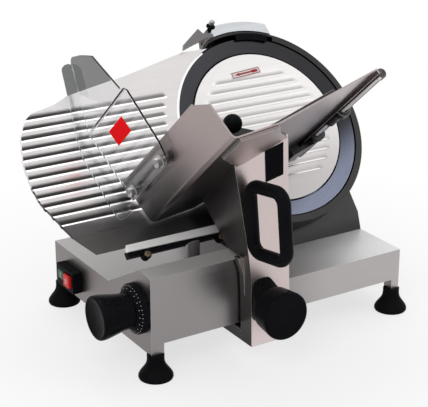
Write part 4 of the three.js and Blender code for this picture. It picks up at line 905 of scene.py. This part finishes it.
bladeValues = {
    "steps": 160, "smooth": 20,
    "profile": [
        (20, -12.5), (114.6, -12.5), (116.2, -3.2), (121, -2.65), (136.6, -0.35), (137.4, -0.08), (137.5, 0),
        (137.2, -0.8), (118.5, -7.5), (117.5, -16.7), (20, -16.7), (20, -12.5),
    ],
}
blade = spun("bladeDisc", bladeValues["profile"], bladeValues["steps"])
finished(
    blade, cuttingPlace, "blade_rotor", "blade_steel", ["blade"], bladeValues["smooth"],
)
print("blade done")

# Knobs and round pieces

ballValues = {"radius": 12.4, "height": 153.7, "turns": range(26, 180, 7)}
ballRadius = ballValues["radius"]
ballCurve = [
    (ballRadius * math.sin(angle(turn)), ballValues["height"] - ballRadius * math.cos(angle(turn)))
    for turn in ballValues["turns"]
]
# Each row has the solid, its place, the width of its edges, its outline and, where the slot's own
# doesn't serve, its finish
roundPieces = {
    "tieRodKnob": ("tie_rod_knob", cuttingPlace, 0.6, [
        (4.8, -176), (4.8, -187.3), (0, -187.3), (0, -195), (7, -195), (9, -196), (12, -196), (14.2, -195.2),
        (15, -193), (15, -178), (14.4, -176), (4.8, -176),
    ]),
    "sharpenerButton": ("sharpener_knob", sharpenerPlace, 0.3, [
        (0, -24), (3, -24), (3, 6.6), (4.2, 7), (6.5, 9), (6.5, 10.6), (4.4, 12.6), (3.4, 13.4), (3.4, 14.2),
        (4, 14.2), (4, 14.4), (0, 14.4),
    ]),
    "thicknessDisc": ("thickness_dial", thicknessPlace, 0.4, [
        (4.3, -0.3), (4.3, -15), (25, -15), (27.5, -13.4), (33.2, -9), (34, -7.6), (34, -0.3), (4.3, -0.3),
    ]),
    "lockGrip": ("lock_knob", lockPlace, 0.5, [
        (0, -10), (5, -10), (5, 21.2), (28.7, 21.2), (29.5, 22), (30.2, 26), (32.8, 49.5), (32.6, 51.4),
        (31.7, 52.8), (30.1, 53.5), (27.5, 53.7), (26.5, 53.2), (0, 53.2),
    ]),
    "slidingSleeve": ("pusher_sleeve", rodPlace, 0.4, [
        (6.3, 98), (8.4, 98), (8.4, 138), (6.3, 138), (6.3, 98),
    ]),
    "longRod": ("pusher_rod", rodPlace, 0.5, [
        (0, 8), (6, 8), (6, 230), (3.3, 230), (3.3, 221.7), (0, 221.7),
    ], "rod"),
    "rodEnd": ("rod_cap", rodPlace, 0.4, [
        (0, 222), (3, 222), (3, 230.3), (7, 230.3), (7, 237.6), (6.2, 239), (4.6, 239.3), (4.2, 238.2),
        (0, 238),
    ], "rod"),
    "pusherBall": ("pusher_ball", placeIn(trayPlace, "ball"), 0, [
        (0, 137.3), (5.4, 137.3), (5, 138.4), (5, 141.4), *ballCurve, (0, 166.1),
    ]),
    "glandNut": ("cable_gland", placeIn(machinePlace, "gland"), 0.3, [
        (4.5, -8), (9, -8), (9, 3.3), (11, 3.3), (11, 7.4), (10, 8), (9, 8), (9, 12), (7.6, 14), (4.5, 14),
        (4.5, -8),
    ]),
}
roundSteps = 96
for name, (node, place, edge, profile, *look) in roundPieces.items():
    piece = spun(name, profile, roundSteps, edge)
    finished(piece, place, bodyOf[node], look[0] if look else slotOf[node], [node])
print("round pieces done")

# Thickness knob's smooth grip and its mark, the dial's two rows of dots and the sharpener's cap

gripValues = {
    "steps": 120, "edge": 0.4,
    "profile": [
        (0, -59.4), (19, -59.8), (25, -61.5), (26.4, -62), (28.4, -61.4), (29.3, -59.6), (29.5, -57),
        (29.2, -52), (27.6, -43), (25.6, -33), (24.2, -25), (23.7, -19), (23.7, -15.3), (4.3, -15.3),
        (4.3, -40.3), (0, -40.3),
    ],
}
grip = spun("thicknessHandle", **gripValues)
finished(grip, thicknessPlace, "thickness_knob", "black_plastic", ["thickness_grip"])

# Each ring has its radius, its height and how many steps lie between its dots
markValues = {
    "dots": 30, "sweep": 300, "start": 30, "size": 0.5, "rings": [(31.8, -10.1, 1), (28.6, -12.6, 2)],
    "mark": ((-0.7, 26.2, -41), (0.7, 27, -35.5)), "markEdge": 0.1,
}
marks = []
for index in range(markValues["dots"] + 1):
    bearing = angle(markValues["start"] + markValues["sweep"] * index / markValues["dots"])
    for ring, height, every in markValues["rings"]:
        if index % every:
            continue
        clearSelection()
        bpy.ops.mesh.primitive_uv_sphere_add(
            segments=10, ring_count=6, radius=markValues["size"],
            location=(ring * math.cos(bearing), ring * math.sin(bearing), height),
        )
        settle()
        marks.append(bpy.context.object)
dots = joinedPiece(marks)
dots.name = "dialDots"
finished(dots, thicknessPlace, "thickness_knob", "white")
gripMark = blockPiece("gripMark", *markValues["mark"], markValues["markEdge"], 1)
finished(gripMark, thicknessPlace, "thickness_knob", "white")
capValues = {
    "steps": 48,
    "profile": [(0, 14.5), (4, 14.5), (4.2, 15), (4.2, 18.6), (3.6, 19.4), (2.6, 19.6), (0, 19.6)],
}
cap = spun("buttonCap", **capValues)
finished(cap, sharpenerPlace, "sharpener_button", "chrome")
print("dial marked")

# Hand grip: a torus pulled apart into a rounded loop, then sloped

loopValues = {
    "bar": 8.6, "corner": 16, "reach": 68, "height": 93, "slope": 0.12, "roll": -5, "yaw": 4, "across": 130.2,
    "rearFace": -30.3, "low": 130.5, "around": 72, "aroundBar": 28,
}
clearSelection()
bpy.ops.mesh.primitive_torus_add(
    major_radius=loopValues["corner"], minor_radius=loopValues["bar"],
    major_segments=loopValues["around"], minor_segments=loopValues["aroundBar"],
    rotation=(0, 0, angle(180 / loopValues["around"])),
)
loop = bpy.context.object
loop.name = "handLoop"
settle()
halfReach, halfHeight = loopValues["reach"] / 2, loopValues["height"] / 2
for vertex in loop.data.vertices:
    out = vertex.co.x + math.copysign(halfReach - loopValues["corner"], vertex.co.x) + halfReach
    up = vertex.co.y + math.copysign(halfHeight - loopValues["corner"], vertex.co.y) + halfHeight
    vertex.co = (vertex.co.z, -out, up + out * loopValues["slope"])
editWhole(loop)
endEdit(True)
setback = loopValues["rearFace"] - loopValues["bar"]
loopPlace = machinePlace @ moved(loopValues["across"], setback, loopValues["low"])
loopPlace = loopPlace @ turned(loopValues["yaw"]) @ turned(loopValues["roll"], "Y")
finished(loop, loopPlace, "carriage", "black_plastic", ["hand_grip"])
print("hand grip done")

# Guard screws: turned heads with a slot and a washer

screwValues = {
    "lift": 45, "places": {"guard_screw_1": 24, "guard_screw_2": 118}, "steps": 64, "edge": 0.25,
    "profile": [
        (0, -1.7), (3, -1.7), (3, 9.3), (8.4, 9.3), (8.4, 10.4), (5.6, 10.4), (5.6, 13.5), (6.5, 14),
        (6.5, 16.6), (6, 17.3), (0, 17.3),
    ],
    "slot": 1.3, "slotDepth": 1.8, "cutterTop": 20,
}
for name, out in screwValues["places"].items():
    place = trayPlace @ moved(0, screwValues["lift"], out) @ turned(-90, "Y")
    finished(slottedHead(name, screwValues), place, "carriage", "chrome", [name])
print("screws done")

# Gauge bolts with slotted heads

boltValues = {
    "up": -142.7, "places": {"gauge_bolt_1": -251, "gauge_bolt_2": -137.5}, "steps": 40, "edge": 0.15,
    "profile": [(0, -10), (2.5, -10), (2.5, -1.7), (4.5, -1.7), (4.5, 0.2), (3.8, 1), (2.4, 1.3), (0, 1.3)],
    "slot": 1, "slotDepth": 1, "cutterTop": 5,
}
for name, across in boltValues["places"].items():
    place = cuttingPlace @ moved(across, boltValues["up"], 0)
    finished(slottedHead(name, boltValues), place, "gauge", "brass", [name])
print("bolts done")

# Clear guard: three flat sheets that meet at their folds, and its blank red sticker

# Each sheet has its place, here in plain millimetres, its two faces and its outline
acrossX = Matrix(((0, 0, 1, 0), (1, 0, 0, 0), (0, 1, 0, 0), (0, 0, 0, 1)))
upperPlace = Matrix.Translation((-6, 141, 5)) @ turned(-22) @ acrossX
guardValues = {
    "edge": 1.25,
    "sheets": {
        "side": (acrossX, -9, -6, [
            (36, 8.2), (140.7, 8.2), (140.7, 144), (137, 146), (64, 139), (39, 131), (36, 128),
        ]),
        "upper": (upperPlace, -3, 0, [
            (0.3, 3.2), (103.5, 3.2), (107.5, 5), (110.5, 9), (110, 13), (99, 38.5), (80, 72), (6, 126),
            (0.3, 139),
        ]),
        "flange": (Matrix.Identity(4), 5, 8, [
            (-20, 23), (-38, 22.5), (-41, 25), (-42, 43), (-39, 70), (-35, 116), (-26, 145), (-17, 164.5),
            (0, 203), (14, 236), (17, 239.5), (22, 241.5), (28, 241), (34, 236), (-5, 143.5), (-8, 36),
            (-19, 33),
        ]),
    },
    "sticker": ((-9.3, 99.4, 57), (-9.05, 121.9, 102.8)), "stickerEdge": 0.05,
}
sheets = []
for name, (place, back, front, points) in guardValues["sheets"].items():
    sheet = plateFrom(name + "Sheet", points, back, front, guardValues["edge"])
    sheet.matrix_world = place
    pick(sheet)
    settle()
    sheets.append(sheet)
clearGuard = joinedPiece(sheets)
clearGuard.name = "clearGuard"
finished(clearGuard, trayPlace, "carriage", "clear_plastic", ["hand_guard"])
sticker = blockPiece("blankSticker", *guardValues["sticker"], guardValues["stickerEdge"], 1)
finished(sticker, trayPlace, "carriage", "sign")
print("guard done")

# Buttons with their raised signs: a bar on the start button and a ring on the stop button

buttonValues = {
    "start_button": {
        "low": (-15.5, 224.5, 24), "high": (-1.5, 240.5, 37), "body": "start", "colour": "green_plastic",
    },
    "stop_button": {
        "low": (-18, 202, 20), "high": (-4, 219, 38), "body": "stop", "colour": "red_plastic",
    },
    "edge": 1.2, "signHeight": 7, "signDepth": 0.35, "signSink": 0.5, "bar": 1.1, "barEdge": 0.15,
    "ringInset": 0.6, "ringBar": 0.5, "ringWidth": 0.72,
}
half = buttonValues["signHeight"] / 2
for name in ("start_button", "stop_button"):
    values = buttonValues[name]
    key = blockPiece(values["body"] + "Key", values["low"], values["high"], buttonValues["edge"], 4)
    finished(key, machinePlace, values["body"], values["colour"], [name])
    face = values["low"][0]
    across, up = [(a + b) / 2 for a, b in zip(values["low"][1:], values["high"][1:])]
    if name == "start_button":
        bar = buttonValues["bar"] / 2
        low = (face - buttonValues["signDepth"], across - bar, up - half)
        high = (face + buttonValues["signSink"], across + bar, up + half)
        sign = blockPiece("startSign", low, high, buttonValues["barEdge"], 2)
    else:
        clearSelection()
        bpy.ops.mesh.primitive_torus_add(
            location=(face, across, up), rotation=(0, angle(90), 0),
            major_radius=half - buttonValues["ringInset"], minor_radius=buttonValues["ringBar"],
            major_segments=40, minor_segments=10,
        )
        sign = bpy.context.object
        sign.name = "stopSign"
        settle()
        for vertex in sign.data.vertices:
            vertex.co.y = across + (vertex.co.y - across) * buttonValues["ringWidth"]
    finished(sign, machinePlace, values["body"], "white")
print("buttons done")

# Studio: floor, three large lamps, a small one for the knobs' glints, and an even sky

# What is seen straight, in a reflection or through the clear sheet gets the backdrop's strength and the
# floor's glow. The glow rises from "nearShare" at "near" to full at "far", in metres from the floor's
# middle, and is darker through the sheet.
studio = {
    "floorSize": 24, "floor": (0.95, 0.95, 0.95), "mottle": (0.8, 0.8, 0.8), "mottleScale": 3,
    "mottleShare": 0.05, "floorRoughness": 0.9, "near": 0.25, "far": 0.7, "nearShare": 0.7,
    "behindGuard": (0.17, 0.17, 0.168), "sky": 0.55, "backdrop": 1, "aim": (0, 0, 0.2),
    "lamps": {
        "keyLamp": {"place": (-1.6, -1.4, 2.2), "size": 1.6, "power": 16},
        "fillLamp": {"place": (1.9, -1.2, 1.4), "size": 1.4, "power": 5},
        "sparkLamp": {"place": (-0.9, -1.5, 1.9), "size": 0.12, "power": 1.5},
        "topLamp": {"place": (0.1, 0.5, 2.4), "size": 1.8, "power": 12},
    },
}
clearSelection()
bpy.ops.mesh.primitive_plane_add(size=studio["floorSize"])
floor = bpy.context.object
floor.name = "studioFloor"
floorFinish, tree, shader, places = newFinish(
    "paleFloor", Roughness=studio["floorRoughness"], Specular_IOR_Level=0,
)
mottle = groupNode(
    tree, cloudiness, places, Scale=studio["mottleScale"], Low=0, High=studio["mottleShare"],
)["Value"]
join(tree, blended(tree, mottle, studio["floor"], studio["mottle"]), shader.inputs["Base Color"])


# A mask that is 1 for what is seen straight, in a reflection or through the clear sheet, and a second
# one for the last of these alone
def seenRays(tree):
    rays = addNode(tree, "ShaderNodeLightPath").outputs
    straight, mirrored, through = (rays[f"Is {kind} Ray"] for kind in ("Camera", "Glossy", "Transmission"))
    either = calculated(tree, mathKind, "ADD", straight, mirrored, use_clamp=True)[0]
    return calculated(tree, mathKind, "ADD", either, through, use_clamp=True)[0], through


away = calculated(tree, vectorMathKind, "LENGTH", places)["Value"]
distant = spread(tree, away, studio["near"], studio["far"], studio["nearShare"])
seen, through = seenRays(tree)
share = calculated(tree, mathKind, "MULTIPLY", distant, seen)[0]
glow = addNode(tree, "ShaderNodeEmission")
join(tree, blended(tree, through, (1, 1, 1), studio["behindGuard"]), glow.inputs["Color"])
mixed = addNode(tree, "ShaderNodeMixShader")
for index, source in enumerate((share, shader.outputs[0], glow.outputs[0])):
    join(tree, source, mixed.inputs[index])
join(tree, mixed.outputs[0], tree.nodes["Material Output"].inputs["Surface"])
floor.data.materials.append(floorFinish)
for name, values in studio["lamps"].items():
    lamp = bpy.data.objects.new(name, bpy.data.lights.new(name, "AREA"))
    bpy.context.scene.collection.objects.link(lamp)
    lamp.data.shape = "DISK"
    lamp.data.size = values["size"]
    lamp.data.energy = values["power"]
    lamp.location = values["place"]
    lamp.rotation_euler = (Vector(studio["aim"]) - lamp.location).to_track_quat("-Z", "Y").to_euler()
world = bpy.data.worlds.new("evenSky")
bpy.context.scene.world = world
world.use_nodes = True
tree = world.node_tree
sky = tree.nodes["Background"]
seen = seenRays(tree)[0]
join(tree, spread(tree, seen, 0, 1, studio["sky"], studio["backdrop"]), sky.inputs["Strength"])
sky.inputs["Color"].default_value = (1, 1, 1, 1)
bpy.context.scene.view_settings.view_transform = "Standard"
print("studio ready")
